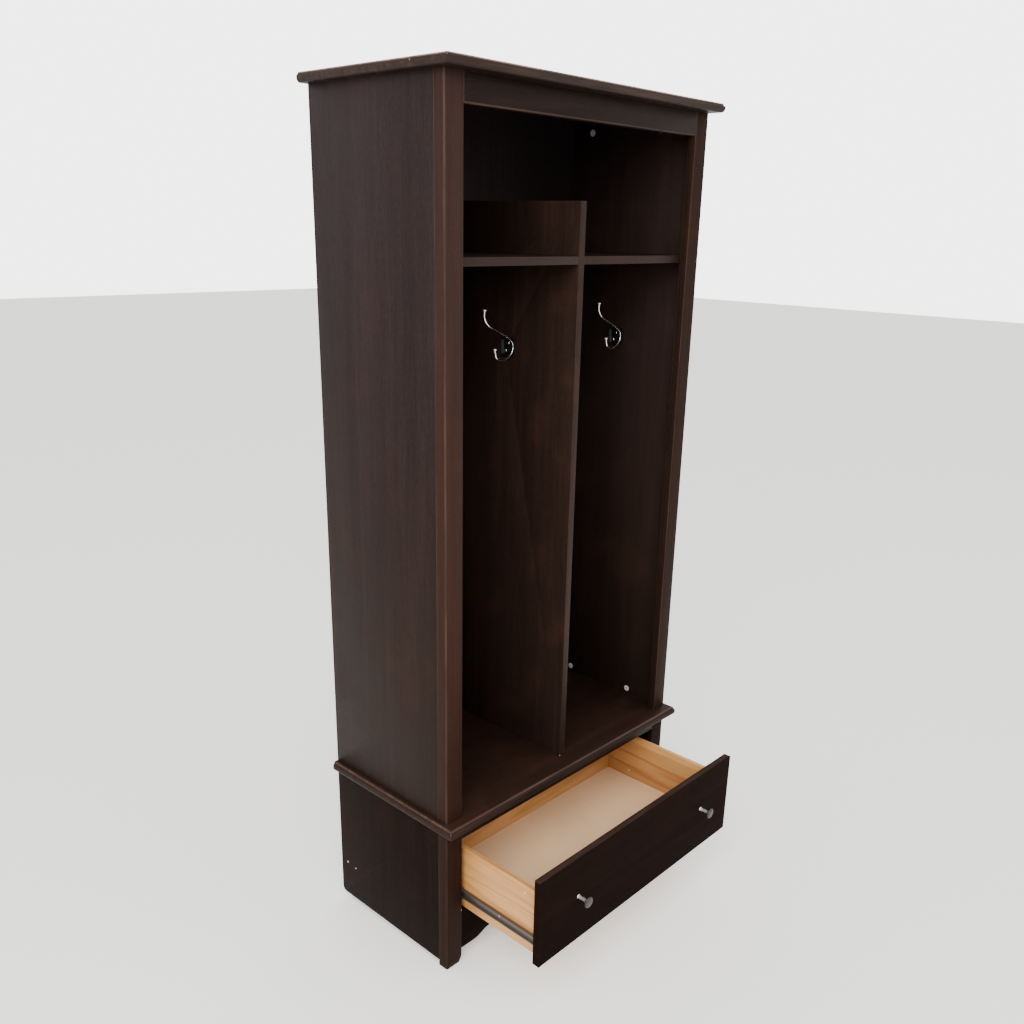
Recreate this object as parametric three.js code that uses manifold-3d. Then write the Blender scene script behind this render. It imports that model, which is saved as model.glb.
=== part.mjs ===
// Hall tree: an upper coat locker on a base with one wide drawer. Millimetres, +Z up, front faces -Y.
// Depths are measured back from the posts' front faces, widths from the middle of the case.
import * as THREE from 'three';
import { mergeVertices } from 'three/addons/utils/BufferGeometryUtils.js';
import Module from 'manifold-3d';

const wasm = await Module();
wasm.setup();

// ---- overall sizes ----
const CASE_WIDTH = 813;
const CASE_DEPTH = 391;
const CASE_HEIGHT = 1908.2;
const CAP_THICKNESS = 19;
const SLAB_THICKNESS = 22.5;

// ---- boards ----
const FRAME_THICKNESS = 19;
const BACK_THICKNESS = 6;
const PANEL_INNER_FACE = 18.5;
const PANEL_REVEAL = 0.4;
const PANEL_BOTTOM_Z = 17.5;
const PANEL_HEEL_RADIUS = 12;
const FIT_GAP = 0.3;

// ---- cap and slab mouldings ----
const CAP_FRONT_OVERHANG = 30;
const CAP_SIDE_OVERHANG = 20;
const CAP_BACK_OVERHANG = 8;
const SLAB_FRONT_OVERHANG = 29;
const SLAB_SIDE_OVERHANG = 14;
// Each row is an inset from the widest line and a height as a share of the board's thickness.
const CAP_MOULDING = [
  [6.5, 0], [3.4, 0.08], [1.4, 0.22], [0.2, 0.42], [0, 0.55],
  [0.7, 0.68], [2.2, 0.79], [3.6, 0.84], [3.8, 0.93], [5.0, 1],
];
const SLAB_MOULDING = [
  [5.2, 0], [2.4, 0.05], [0.8, 0.16], [0, 0.31], [0, 0.45], [0.6, 0.59],
  [1.9, 0.72], [3.3, 0.79], [3.6, 0.86], [4.9, 0.95], [7.0, 1],
];

// ---- posts and legs ----
const POST_WIDTH = 46.7;
const POST_SIDE_DEPTH = 27;
const POST_LIP = 9;
const POST_ROUND_OVER = 6.4;
const POST_EASE = 1.5;
const FOOT_TAPER_WIDTH = 8.7;
const FOOT_TAPER_HEIGHT = 16;
const FRONT_GLIDE_HEIGHT = 4;
const FRONT_GLIDE_SPOT = [19, 11];
const REAR_GLIDE_HEIGHT = 9;
const REAR_LEG_DEPTH = 22;
const GLIDE_RADIUS = 9.5;

// ---- rails ----
const TOP_RAIL_HEIGHT = 52.7;
const RAIL_BEHIND_DRAWER = 16.5;
const APRON_SHOULDER_Z = 39;
const APRON_SHOULDER_LENGTH = 36;
const APRON_OGEE_LENGTH = 62;
const APRON_OGEE_Z = 52.5;
const APRON_CROWN_Z = 64;

// ---- shelf and divider ----
const SHELF_TOP_Z = 1579.4;
const SHELF_THICKNESS = 16.5;
const DIVIDER_THICKNESS = 18.3;
const DIVIDER_TOP_Z = 1688.4;
const INTERIOR_FRONT = 19.5;

// ---- screw cover caps over the side panels' fittings ----
const COVER_RADIUS = 8.2;
const COVER_PLUG_RADIUS = 7;
const COVER_PLUG_LENGTH = 3.5;
const COVER_DOME = 1.4;
const COVER_FRONT_DEPTH = 115.5;
const COVER_FROM_BACK = 68;
const COVER_ABOVE_SLAB = 16.1;
const COVER_BELOW_CAP = 31;

// ---- hooks ----
const HOOK_DEPTH = 201;
const HOOK_WIRE_RADIUS = 3;
const HOOK_TIP_RADIUS = 4.8;
const HOOK_TIP_LENGTH = 4;
const HOOK_PLATE_THICKNESS = 2.5;
const HOOK_PLATE_HEIGHT = 40;
const HOOK_PLATE_REACH = 35;
const HOOK_PLATE_NEAR = 7;
const HOOK_PLATE_CORNER = 9;
const HOOK_CENTRE_Z = 1375;
// Wire centre line: distance out from the board, height above the hook's centre.
const HOOK_WIRE = [
  [96, 86], [95.5, 68], [80, 51], [49, 37], [18.5, 22], [4.7, 8.5],
  [6.3, -8.5], [18.5, -20.5], [38, -26.5], [57, -19], [62.5, -0.5],
];
// Screw places on the plate: distance back from the wire, height above the hook's centre.
const HOOK_SCREWS = [[16.5, 9], [25, -8.5]];
const HOOK_SCREW_HEAD_RADIUS = 4;
const HOOK_SCREW_HEAD_HEIGHT = 1.8;
const HOOK_SCREW_RADIUS = 1.7;
const HOOK_SCREW_LENGTH = 14;

// ---- drawer ----
const DRAWER_OPENING = 224.3;
const DRAWER_FRONT_BOTTOM_Z = 135.7;
const DRAWER_FRONT_HEIGHT = 214.8;
const DRAWER_FRONT_THICKNESS = 19;
const DRAWER_FRONT_OVERLAP = 6;
const DRAWER_FRONT_BELOW_SLAB = 20.4;
const DRAWER_FRONT_CORNER = 5;
const DRAWER_FRONT_EASE = 4;
const FRONT_TO_CASE_GAP = 0.5;
const SLIDE_GAP = 12.7;
const BOX_BOARD = 12;
const BOX_BELOW_FRONT_TOP = 47.5;
const BOX_ABOVE_APRON = 2.3;
const BOX_BACK_CLEARANCE = 25;
const BOX_FLOOR_THICKNESS = 4;
const BOX_FLOOR_RISE = 27;
const BOX_GROOVE = 6;

// ---- knobs ----
const KNOB_SPACING = 479;
const KNOB_HEIGHT_SHARE = 0.5344;
const KNOB_PROJECTION = 31.7;
const KNOB_HEAD_RADIUS = 12.85;
const KNOB_HEAD_THICKNESS = 5.2;
const KNOB_STEM_RADIUS = 4.1;
const KNOB_FOOT_RADIUS = 7;
const KNOB_THREAD_DEPTH = 14;
const KNOB_SCREW_RADIUS = 2;
const KNOB_SCREW_HEAD_RADIUS = 5;
const KNOB_SCREW_HEAD_HEIGHT = 2.4;

// ---- drawer slides ----
const SLIDE_FRONT = 3;
const SLIDE_SHORTER_THAN_BOX = 10;
const SLIDE_ABOVE_BOX_BOTTOM = 40.5;
const SLIDE_WALL = 1.4;
const SLIDE_OUTER_HEIGHT = 27;
const SLIDE_OUTER_REACH = 10.2;
const SLIDE_LIP = 1.1;
const SLIDE_INNER_HEIGHT = 19.4;
const SLIDE_INNER_REACH = 9.2;
const CAGE_WALL = 1.2;
const CAGE_LENGTH = 82;
const CAGE_HEIGHT = 22.2;
const CAGE_WEB_OUT = 2.3;
const CAGE_REACH = 8.6;
const PACKER_HEIGHT = 44;

// ---- derived places ----
const HALF = CASE_WIDTH / 2;
const CAP_UNDERSIDE_Z = CASE_HEIGHT - CAP_THICKNESS;
const DRAWER_FRONT_TOP_Z = DRAWER_FRONT_BOTTOM_Z + DRAWER_FRONT_HEIGHT;
const SLAB_UNDERSIDE_Z = DRAWER_FRONT_TOP_Z + DRAWER_FRONT_BELOW_SLAB;
const SLAB_TOP_Z = SLAB_UNDERSIDE_Z + SLAB_THICKNESS;
const BETWEEN_PANELS = HALF - PANEL_INNER_FACE;
const BETWEEN_POSTS = HALF - POST_WIDTH;
const BACK_FACE = CASE_DEPTH - BACK_THICKNESS;
const LAP_DEPTH = (INTERIOR_FRONT + BACK_FACE) / 2;
const APRON_TOP_Z = DRAWER_FRONT_BOTTOM_Z + DRAWER_FRONT_OVERLAP;
const BASE_RAIL_BOTTOM_Z = DRAWER_FRONT_TOP_Z - RAIL_BEHIND_DRAWER;
const BOX_BOTTOM_Z = APRON_TOP_Z + BOX_ABOVE_APRON;
const BOX_TOP_Z = DRAWER_FRONT_TOP_Z - BOX_BELOW_FRONT_TOP;
const BOX_FLOOR_Z = BOX_BOTTOM_Z + BOX_FLOOR_RISE;
const BOX_HALF = BETWEEN_POSTS - SLIDE_GAP;
const BOX_FRONT = -FRONT_TO_CASE_GAP - DRAWER_OPENING;
const BOX_LENGTH = BACK_FACE + FRONT_TO_CASE_GAP - BOX_BACK_CLEARANCE;
const DRAWER_FACE = BOX_FRONT - DRAWER_FRONT_THICKNESS;
const SLIDE_LENGTH = BOX_LENGTH - SLIDE_SHORTER_THAN_BOX;
const SLIDE_Z = BOX_BOTTOM_Z + SLIDE_ABOVE_BOX_BOTTOM;
const REAR_LEG_FRONT = BACK_FACE - REAR_LEG_DEPTH;
const KNOB_Z = DRAWER_FRONT_BOTTOM_Z + KNOB_HEIGHT_SHARE * DRAWER_FRONT_HEIGHT;
const BACK_LOWER_EDGE_Z = APRON_SHOULDER_Z;
const COVER_DEPTHS = [COVER_FRONT_DEPTH, CASE_DEPTH - COVER_FROM_BACK];
const FRONT_MOST = DRAWER_FACE - KNOB_PROJECTION;
const BACK_MOST = CASE_DEPTH + CAP_BACK_OVERHANG;
const MIDDLE_DEPTH = (FRONT_MOST + BACK_MOST) / 2;

// ---- solids ----
function toSolid(geometry) {
  const plain = geometry.clone();
  plain.deleteAttribute('normal');
  plain.deleteAttribute('uv');
  const merged = mergeVertices(plain, 1e-4);
  return new wasm.Manifold(new wasm.Mesh({
    numProp: 3,
    vertProperties: new Float32Array(merged.attributes.position.array),
    triVerts: new Uint32Array(merged.index.array),
  }));
}

function toGeometry(solid) {
  const mesh = solid.getMesh();
  const geometry = new THREE.BufferGeometry();
  geometry.setAttribute('position', new THREE.BufferAttribute(new Float32Array(mesh.vertProperties), 3));
  geometry.setIndex(new THREE.BufferAttribute(new Uint32Array(mesh.triVerts), 1));
  return geometry;
}

function cut(geometry, tools) {
  let solid = toSolid(geometry);
  for (const tool of tools) {
    solid = solid.subtract(toSolid(tool));
  }
  return toGeometry(solid);
}

function join(geometries) {
  let solid = toSolid(geometries[0]);
  for (const geometry of geometries.slice(1)) {
    solid = solid.add(toSolid(geometry));
  }
  return toGeometry(solid);
}

// A box between two corners given as [low, high] for each direction.
function box([x0, x1], [y0, y1], [z0, z1]) {
  const geometry = new THREE.BoxGeometry(x1 - x0, y1 - y0, z1 - z0);
  return geometry.translate((x0 + x1) / 2, (y0 + y1) / 2, (z0 + z1) / 2);
}

function mirrored(geometry) {
  const copy = geometry.index ? geometry.toNonIndexed() : geometry.clone();
  copy.scale(-1, 1, 1);
  const places = copy.attributes.position;
  const first = new THREE.Vector3();
  const second = new THREE.Vector3();
  for (let i = 0; i < places.count; i += 3) {
    first.fromBufferAttribute(places, i + 1);
    second.fromBufferAttribute(places, i + 2);
    places.setXYZ(i + 1, second.x, second.y, second.z);
    places.setXYZ(i + 2, first.x, first.y, first.z);
  }
  copy.deleteAttribute('normal');
  return copy;
}

function shapeFrom(points) {
  return new THREE.Shape(points.map(([a, b]) => new THREE.Vector2(a, b)));
}

// An outline in width and depth, drawn upwards from one height to another.
function upright(shape, z0, z1, curveSegments = 8) {
  const options = { depth: z1 - z0, bevelEnabled: false, curveSegments };
  return new THREE.ExtrudeGeometry(shape, options).translate(0, 0, z0);
}

// An outline in width and height, drawn backwards from one depth to another.
function backwards(shape, y0, y1, curveSegments = 8) {
  const options = { depth: y1 - y0, bevelEnabled: false, curveSegments };
  return new THREE.ExtrudeGeometry(shape, options).rotateX(Math.PI / 2).translate(0, y1, 0);
}

// A pin along one axis, starting at a point and running the given length (negative runs the other way).
function pin(radius, length, axis, [x, y, z], segments = 24) {
  const geometry = new THREE.CylinderGeometry(radius, radius, Math.abs(length), segments);
  const half = length / 2;
  if (axis === 'x') {
    return geometry.rotateZ(Math.PI / 2).translate(x + half, y, z);
  }
  if (axis === 'y') {
    return geometry.translate(x, y + half, z);
  }
  return geometry.rotateX(Math.PI / 2).translate(x, y, z + half);
}

// A turned piece whose profile is [radius, height], standing at a point and pointing along a direction.
function turned(profile, direction, [x, y, z], segments = 28) {
  const points = profile.map(([r, h]) => new THREE.Vector2(r, h));
  const geometry = new THREE.LatheGeometry(points, segments);
  const turn = new THREE.Quaternion().setFromUnitVectors(new THREE.Vector3(0, 1, 0), direction);
  return geometry.applyQuaternion(turn).translate(x, y, z);
}

// ---- boards with a moulded front and sides ----
function mouldedBoard(halfWidth, front, back, z0, thickness, moulding) {
  const corners = [];
  for (const [inset, share] of moulding) {
    const z = z0 + share * thickness;
    const x = halfWidth - inset;
    corners.push([-x, front + inset, z], [x, front + inset, z], [x, back, z], [-x, back, z]);
  }
  const faces = [0, 2, 1, 0, 3, 2];
  for (let level = 0; level < moulding.length - 1; level += 1) {
    for (let side = 0; side < 4; side += 1) {
      const a = level * 4 + side;
      const b = level * 4 + ((side + 1) % 4);
      faces.push(a, b, b + 4, a, b + 4, a + 4);
    }
  }
  const top = (moulding.length - 1) * 4;
  faces.push(top, top + 1, top + 2, top, top + 2, top + 3);
  const geometry = new THREE.BufferGeometry();
  geometry.setAttribute('position', new THREE.Float32BufferAttribute(corners.flat(), 3));
  geometry.setIndex(faces);
  return geometry;
}

function capTop() {
  const half = HALF + CAP_SIDE_OVERHANG;
  return mouldedBoard(half, -CAP_FRONT_OVERHANG, BACK_MOST, CAP_UNDERSIDE_Z, CAP_THICKNESS, CAP_MOULDING);
}

function baseSlab() {
  const half = HALF + SLAB_SIDE_OVERHANG;
  const front = -SLAB_FRONT_OVERHANG;
  return mouldedBoard(half, front, CASE_DEPTH, SLAB_UNDERSIDE_Z, SLAB_THICKNESS, SLAB_MOULDING);
}

// ---- posts, legs and side panels, all for the left side ----
function postOutline() {
  const shape = new THREE.Shape();
  shape.moveTo(-HALF + POST_ROUND_OVER, 0);
  shape.lineTo(-BETWEEN_POSTS - POST_EASE, 0);
  shape.lineTo(-BETWEEN_POSTS, POST_EASE);
  shape.lineTo(-BETWEEN_POSTS, FRAME_THICKNESS);
  shape.lineTo(-HALF + POST_LIP, FRAME_THICKNESS);
  shape.lineTo(-HALF + POST_LIP, POST_SIDE_DEPTH);
  shape.lineTo(-HALF, POST_SIDE_DEPTH);
  shape.lineTo(-HALF, POST_ROUND_OVER);
  shape.absarc(-HALF + POST_ROUND_OVER, POST_ROUND_OVER, POST_ROUND_OVER, Math.PI, Math.PI * 1.5, false);
  return shape;
}

function upperPost() {
  return upright(postOutline(), SLAB_TOP_Z, CAP_UNDERSIDE_Z);
}

function footTaper() {
  const shape = new THREE.Shape();
  const low = FRONT_GLIDE_HEIGHT;
  const inner = -BETWEEN_POSTS;
  shape.moveTo(inner - FOOT_TAPER_WIDTH, low - 1);
  shape.lineTo(inner - FOOT_TAPER_WIDTH, low);
  shape.quadraticCurveTo(inner - 1, low + FOOT_TAPER_HEIGHT / 3, inner, low + FOOT_TAPER_HEIGHT);
  shape.lineTo(inner + 1, low + FOOT_TAPER_HEIGHT);
  shape.lineTo(inner + 1, low - 1);
  return backwards(shape, -1, POST_SIDE_DEPTH + 1);
}

function basePost() {
  return cut(upright(postOutline(), FRONT_GLIDE_HEIGHT, SLAB_UNDERSIDE_Z), [footTaper()]);
}

function rearLeg() {
  const leg = [-BETWEEN_PANELS, -BETWEEN_POSTS];
  return box(leg, [REAR_LEG_FRONT, BACK_FACE], [REAR_GLIDE_HEIGHT, SLAB_UNDERSIDE_Z]);
}

function panelOutline() {
  const outer = -HALF + PANEL_REVEAL;
  return shapeFrom([
    [outer, POST_SIDE_DEPTH], [-HALF + POST_LIP, POST_SIDE_DEPTH], [-HALF + POST_LIP, FRAME_THICKNESS],
    [-BETWEEN_PANELS, FRAME_THICKNESS], [-BETWEEN_PANELS, CASE_DEPTH], [outer, CASE_DEPTH],
  ]);
}

function coverPlaces() {
  const heights = [SLAB_TOP_Z + COVER_ABOVE_SLAB, CAP_UNDERSIDE_Z - COVER_BELOW_CAP];
  return heights.flatMap((z) => COVER_DEPTHS.map((y) => [y, z]));
}

function coverPockets() {
  const depth = COVER_PLUG_LENGTH + FIT_GAP;
  return coverPlaces().map(([y, z]) => (
    pin(COVER_PLUG_RADIUS + FIT_GAP, -depth - 1, 'x', [-BETWEEN_PANELS + 1, y, z])
  ));
}

function upperSidePanel() {
  return cut(upright(panelOutline(), SLAB_TOP_Z, CAP_UNDERSIDE_Z), coverPockets());
}

function panelHeel() {
  const low = PANEL_BOTTOM_Z;
  const r = PANEL_HEEL_RADIUS;
  const shape = new THREE.Shape();
  shape.moveTo(CASE_DEPTH - r, low);
  shape.absarc(CASE_DEPTH - r, low + r, r, Math.PI * 1.5, Math.PI * 2, false);
  shape.lineTo(CASE_DEPTH + 1, low + r);
  shape.lineTo(CASE_DEPTH + 1, low - 1);
  shape.lineTo(CASE_DEPTH - r, low - 1);
  const options = { depth: POST_WIDTH, bevelEnabled: false, curveSegments: 8 };
  const heel = new THREE.ExtrudeGeometry(shape, options);
  return heel.rotateX(Math.PI / 2).rotateZ(Math.PI / 2).translate(-HALF - 1, 0, 0);
}

function baseSidePanel() {
  return cut(upright(panelOutline(), PANEL_BOTTOM_Z, SLAB_UNDERSIDE_Z), [panelHeel()]);
}

function cover([y, z]) {
  const profile = [
    [0, -COVER_PLUG_LENGTH], [COVER_PLUG_RADIUS, -COVER_PLUG_LENGTH], [COVER_PLUG_RADIUS, 0],
    [COVER_RADIUS, 0], [COVER_RADIUS, COVER_DOME * 0.35], [COVER_RADIUS * 0.88, COVER_DOME * 0.75],
    [COVER_RADIUS * 0.5, COVER_DOME], [0, COVER_DOME],
  ];
  return turned(profile, new THREE.Vector3(1, 0, 0), [-BETWEEN_PANELS, y, z], 24);
}

// ---- rails and back panels ----
function topFrontRail() {
  const bottom = CAP_UNDERSIDE_Z - TOP_RAIL_HEIGHT;
  return box([-BETWEEN_POSTS, BETWEEN_POSTS], [0, FRAME_THICKNESS], [bottom, CAP_UNDERSIDE_Z]);
}

function baseTopRail() {
  const heights = [BASE_RAIL_BOTTOM_Z, SLAB_UNDERSIDE_Z];
  return box([-BETWEEN_POSTS, BETWEEN_POSTS], [0, FRAME_THICKNESS], heights);
}

// The apron's lower edge runs level from each post, rises in an ogee, then arches to the middle.
function apronRail() {
  const shoulder = BETWEEN_POSTS - APRON_SHOULDER_LENGTH;
  const ogee = shoulder - APRON_OGEE_LENGTH;
  const middle = shoulder - APRON_OGEE_LENGTH / 2;
  const shape = new THREE.Shape();
  shape.moveTo(-BETWEEN_POSTS, APRON_TOP_Z);
  shape.lineTo(-BETWEEN_POSTS, APRON_SHOULDER_Z);
  shape.lineTo(-shoulder, APRON_SHOULDER_Z);
  shape.bezierCurveTo(-middle, APRON_SHOULDER_Z, -middle, APRON_OGEE_Z, -ogee, APRON_OGEE_Z);
  shape.quadraticCurveTo(-ogee / 2, APRON_CROWN_Z, 0, APRON_CROWN_Z);
  shape.quadraticCurveTo(ogee / 2, APRON_CROWN_Z, ogee, APRON_OGEE_Z);
  shape.bezierCurveTo(middle, APRON_OGEE_Z, middle, APRON_SHOULDER_Z, shoulder, APRON_SHOULDER_Z);
  shape.lineTo(BETWEEN_POSTS, APRON_SHOULDER_Z);
  shape.lineTo(BETWEEN_POSTS, APRON_TOP_Z);
  return backwards(shape, 0, FRAME_THICKNESS, 14);
}

function backPanel(z0, z1) {
  return box([-BETWEEN_PANELS, BETWEEN_PANELS], [BACK_FACE, CASE_DEPTH], [z0, z1]);
}

// ---- shelf and divider, halved into each other ----
function dividerPanel() {
  const half = DIVIDER_THICKNESS / 2;
  const board = box([-half, half], [INTERIOR_FRONT, BACK_FACE], [SLAB_TOP_Z, DIVIDER_TOP_Z]);
  const slot = box(
    [-half - 1, half + 1],
    [LAP_DEPTH, BACK_FACE + 1],
    [SHELF_TOP_Z - SHELF_THICKNESS - FIT_GAP, SHELF_TOP_Z + FIT_GAP],
  );
  return cut(board, [slot, ...hookScrewHoles(-half)]);
}

function shelf() {
  const half = DIVIDER_THICKNESS / 2 + FIT_GAP;
  const heights = [SHELF_TOP_Z - SHELF_THICKNESS, SHELF_TOP_Z];
  const board = box([-BETWEEN_PANELS, BETWEEN_PANELS], [INTERIOR_FRONT, BACK_FACE], heights);
  const notch = box(
    [-half, half],
    [INTERIOR_FRONT - 1, LAP_DEPTH + FIT_GAP],
    [heights[0] - 1, heights[1] + 1],
  );
  return cut(board, [notch]);
}

// ---- hooks: bent wire on a small plate, reaching out towards -X from a board's face ----
function hookTip([x, z], [fromX, fromZ]) {
  const direction = new THREE.Vector3(x - fromX, 0, z - fromZ).normalize();
  const r = HOOK_TIP_RADIUS;
  const h = HOOK_TIP_LENGTH;
  const profile = [
    [0, -0.4 * h], [0.72 * r, -0.4 * h], [r, -0.1 * h], [r, 0.3 * h], [0.72 * r, 0.6 * h], [0, 0.6 * h],
  ];
  return turned(profile, direction, [x, HOOK_DEPTH, z], 20);
}

function hookPlate(face) {
  const near = HOOK_DEPTH - HOOK_PLATE_NEAR;
  const far = HOOK_DEPTH + HOOK_PLATE_REACH;
  const low = HOOK_CENTRE_Z - HOOK_PLATE_HEIGHT / 2;
  const high = HOOK_CENTRE_Z + HOOK_PLATE_HEIGHT / 2;
  const r = HOOK_PLATE_CORNER;
  const corners = [
    [near + r, low + r, 1], [far - r, low + r, 1.5], [far - r, high - r, 0], [near + r, high - r, 0.5],
  ];
  const shape = new THREE.Shape();
  for (const [y, z, turn] of corners) {
    shape.absarc(y, z, r, Math.PI * turn, Math.PI * (turn + 0.5), false);
  }
  const options = { depth: HOOK_PLATE_THICKNESS, bevelEnabled: false, curveSegments: 5 };
  const plate = new THREE.ExtrudeGeometry(shape, options);
  const standing = plate.rotateX(Math.PI / 2).rotateZ(Math.PI / 2);
  return standing.translate(face - HOOK_PLATE_THICKNESS, 0, 0);
}

function hook(face) {
  const line = HOOK_WIRE.map(([out, z]) => new THREE.Vector3(face - out, HOOK_DEPTH, HOOK_CENTRE_Z + z));
  const path = new THREE.CatmullRomCurve3(line, false, 'centripetal');
  const section = new THREE.Shape();
  section.absarc(0, 0, HOOK_WIRE_RADIUS, 0, Math.PI * 2, false);
  const options = { steps: 64, bevelEnabled: false, extrudePath: path, curveSegments: 6 };
  const wire = new THREE.ExtrudeGeometry(section, options);
  const last = line.length - 1;
  const upper = hookTip([line[0].x, line[0].z], [line[1].x, line[1].z]);
  const lower = hookTip([line[last].x, line[last].z], [line[last - 1].x, line[last - 1].z]);
  const holes = HOOK_SCREWS.map(([back, z]) => (
    pin(HOOK_SCREW_RADIUS + FIT_GAP, 2 * HOOK_PLATE_THICKNESS, 'x', [
      face - 1.5 * HOOK_PLATE_THICKNESS, HOOK_DEPTH + back, HOOK_CENTRE_Z + z,
    ], 16)
  ));
  return cut(join([wire, hookPlate(face), upper, lower]), holes);
}

function hookScrewHoles(face) {
  return HOOK_SCREWS.map(([back, z]) => (
    pin(HOOK_SCREW_RADIUS + FIT_GAP / 2, HOOK_SCREW_LENGTH + 1, 'x', [
      face - 1, HOOK_DEPTH + back, HOOK_CENTRE_Z + z,
    ], 16)
  ));
}

function hookScrew(face, [back, z]) {
  const r = HOOK_SCREW_HEAD_RADIUS;
  const h = HOOK_SCREW_HEAD_HEIGHT;
  const buried = HOOK_PLATE_THICKNESS + HOOK_SCREW_LENGTH - FIT_GAP;
  const profile = [
    [0, -buried], [HOOK_SCREW_RADIUS, -buried + 2], [HOOK_SCREW_RADIUS, 0],
    [r, 0], [r, 0.25 * h], [0.75 * r, 0.8 * h], [0.35 * r, h], [0, h],
  ];
  const place = [face - HOOK_PLATE_THICKNESS, HOOK_DEPTH + back, HOOK_CENTRE_Z + z];
  return turned(profile, new THREE.Vector3(-1, 0, 0), place, 16);
}

function rightPanelWithHook() {
  return cut(mirrored(upperSidePanel()), hookScrewHoles(BETWEEN_PANELS));
}

// ---- drawer ----
function drawerFront() {
  const half = BETWEEN_POSTS + DRAWER_FRONT_OVERLAP - DRAWER_FRONT_EASE;
  const low = DRAWER_FRONT_BOTTOM_Z + DRAWER_FRONT_EASE;
  const high = DRAWER_FRONT_TOP_Z - DRAWER_FRONT_EASE;
  const r = DRAWER_FRONT_CORNER;
  const corners = [
    [-half + r, low + r, 1], [half - r, low + r, 1.5], [half - r, high - r, 0], [-half + r, high - r, 0.5],
  ];
  const shape = new THREE.Shape();
  for (const [x, z, turn] of corners) {
    shape.absarc(x, z, r, Math.PI * turn, Math.PI * (turn + 0.5), false);
  }
  const options = {
    depth: DRAWER_FRONT_THICKNESS,
    bevelEnabled: true,
    bevelSegments: 5,
    bevelSize: DRAWER_FRONT_EASE,
    bevelThickness: DRAWER_FRONT_EASE,
    curveSegments: 5,
  };
  const eased = new THREE.ExtrudeGeometry(shape, options).rotateX(Math.PI / 2);
  eased.translate(0, BOX_FRONT + DRAWER_FRONT_EASE, 0);
  const backFace = box(
    [-CASE_WIDTH, CASE_WIDTH],
    [BOX_FRONT, BOX_FRONT + CASE_DEPTH],
    [0, CASE_HEIGHT],
  );
  return cut(eased, [backFace, ...knobScrewHoles()]);
}

function knobScrewHoles() {
  return [-1, 1].map((side) => (
    pin(KNOB_SCREW_RADIUS + FIT_GAP, DRAWER_FRONT_THICKNESS + BOX_BOARD + 4, 'y', [
      side * KNOB_SPACING / 2, DRAWER_FACE - 2, KNOB_Z,
    ], 16)
  ));
}

function boxFront() {
  const board = box([-BOX_HALF + BOX_BOARD, BOX_HALF - BOX_BOARD], [BOX_FRONT, BOX_FRONT + BOX_BOARD],
    [BOX_BOTTOM_Z, BOX_TOP_Z]);
  return cut(board, [floorGroove(), ...knobScrewHoles()]);
}

function boxBack() {
  const end = BOX_FRONT + BOX_LENGTH;
  const heights = [BOX_FLOOR_Z + BOX_FLOOR_THICKNESS + FIT_GAP, BOX_TOP_Z];
  return box([-BOX_HALF + BOX_BOARD, BOX_HALF - BOX_BOARD], [end - BOX_BOARD, end], heights);
}

// The space that the drawer's floor panel takes up in the boards around it.
function floorGroove() {
  const reach = BOX_HALF - BOX_BOARD + BOX_GROOVE;
  const depths = [BOX_FRONT + BOX_BOARD - BOX_GROOVE, BOX_FRONT + BOX_LENGTH + 1];
  const heights = [BOX_FLOOR_Z, BOX_FLOOR_Z + BOX_FLOOR_THICKNESS];
  return box([-reach, reach], depths, heights);
}

function drawerSide() {
  const board = box([-BOX_HALF, -BOX_HALF + BOX_BOARD], [BOX_FRONT, BOX_FRONT + BOX_LENGTH],
    [BOX_BOTTOM_Z, BOX_TOP_Z]);
  return cut(board, [floorGroove()]);
}

function drawerBottom() {
  const reach = BOX_HALF - BOX_BOARD + BOX_GROOVE - FIT_GAP;
  const depths = [BOX_FRONT + BOX_BOARD - BOX_GROOVE + FIT_GAP, BOX_FRONT + BOX_LENGTH];
  const heights = [BOX_FLOOR_Z, BOX_FLOOR_Z + BOX_FLOOR_THICKNESS - FIT_GAP];
  return box([-reach, reach], depths, heights);
}

// ---- knobs and their screws ----
function knob(side) {
  const tip = KNOB_PROJECTION;
  const neck = tip - KNOB_HEAD_THICKNESS;
  const screw = KNOB_SCREW_RADIUS + FIT_GAP / 2;
  const profile = [
    [screw, 0], [KNOB_FOOT_RADIUS, 0], [KNOB_FOOT_RADIUS, 1.4], [KNOB_FOOT_RADIUS - 1.3, 2.6],
    [KNOB_STEM_RADIUS + 0.5, 3.6], [KNOB_STEM_RADIUS, 5.5], [KNOB_STEM_RADIUS, neck - 5],
    [KNOB_STEM_RADIUS + 0.8, neck - 2.6], [KNOB_STEM_RADIUS + 3, neck - 0.8], [KNOB_HEAD_RADIUS - 1.4, neck],
    [KNOB_HEAD_RADIUS, neck + 1.3], [KNOB_HEAD_RADIUS, tip - 2.4], [KNOB_HEAD_RADIUS - 0.9, tip - 1],
    [KNOB_HEAD_RADIUS - 2.6, tip - 0.2], [0, tip], [0, KNOB_THREAD_DEPTH],
    [screw, KNOB_THREAD_DEPTH], [screw, 0],
  ];
  return turned(profile, new THREE.Vector3(0, -1, 0), [side * KNOB_SPACING / 2, DRAWER_FACE, KNOB_Z]);
}

function knobScrew(side) {
  const r = KNOB_SCREW_HEAD_RADIUS;
  const h = KNOB_SCREW_HEAD_HEIGHT;
  const length = BOX_BOARD + DRAWER_FRONT_THICKNESS + KNOB_THREAD_DEPTH - 2;
  const profile = [
    [0, -h], [0.5 * r, -h], [0.9 * r, -0.6 * h], [r, 0], [KNOB_SCREW_RADIUS, 0],
    [KNOB_SCREW_RADIUS, length - 0.8], [KNOB_SCREW_RADIUS - 0.8, length], [0, length],
  ];
  const place = [side * KNOB_SPACING / 2, BOX_FRONT + BOX_BOARD, KNOB_Z];
  return turned(profile, new THREE.Vector3(0, -1, 0), place, 16);
}

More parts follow.
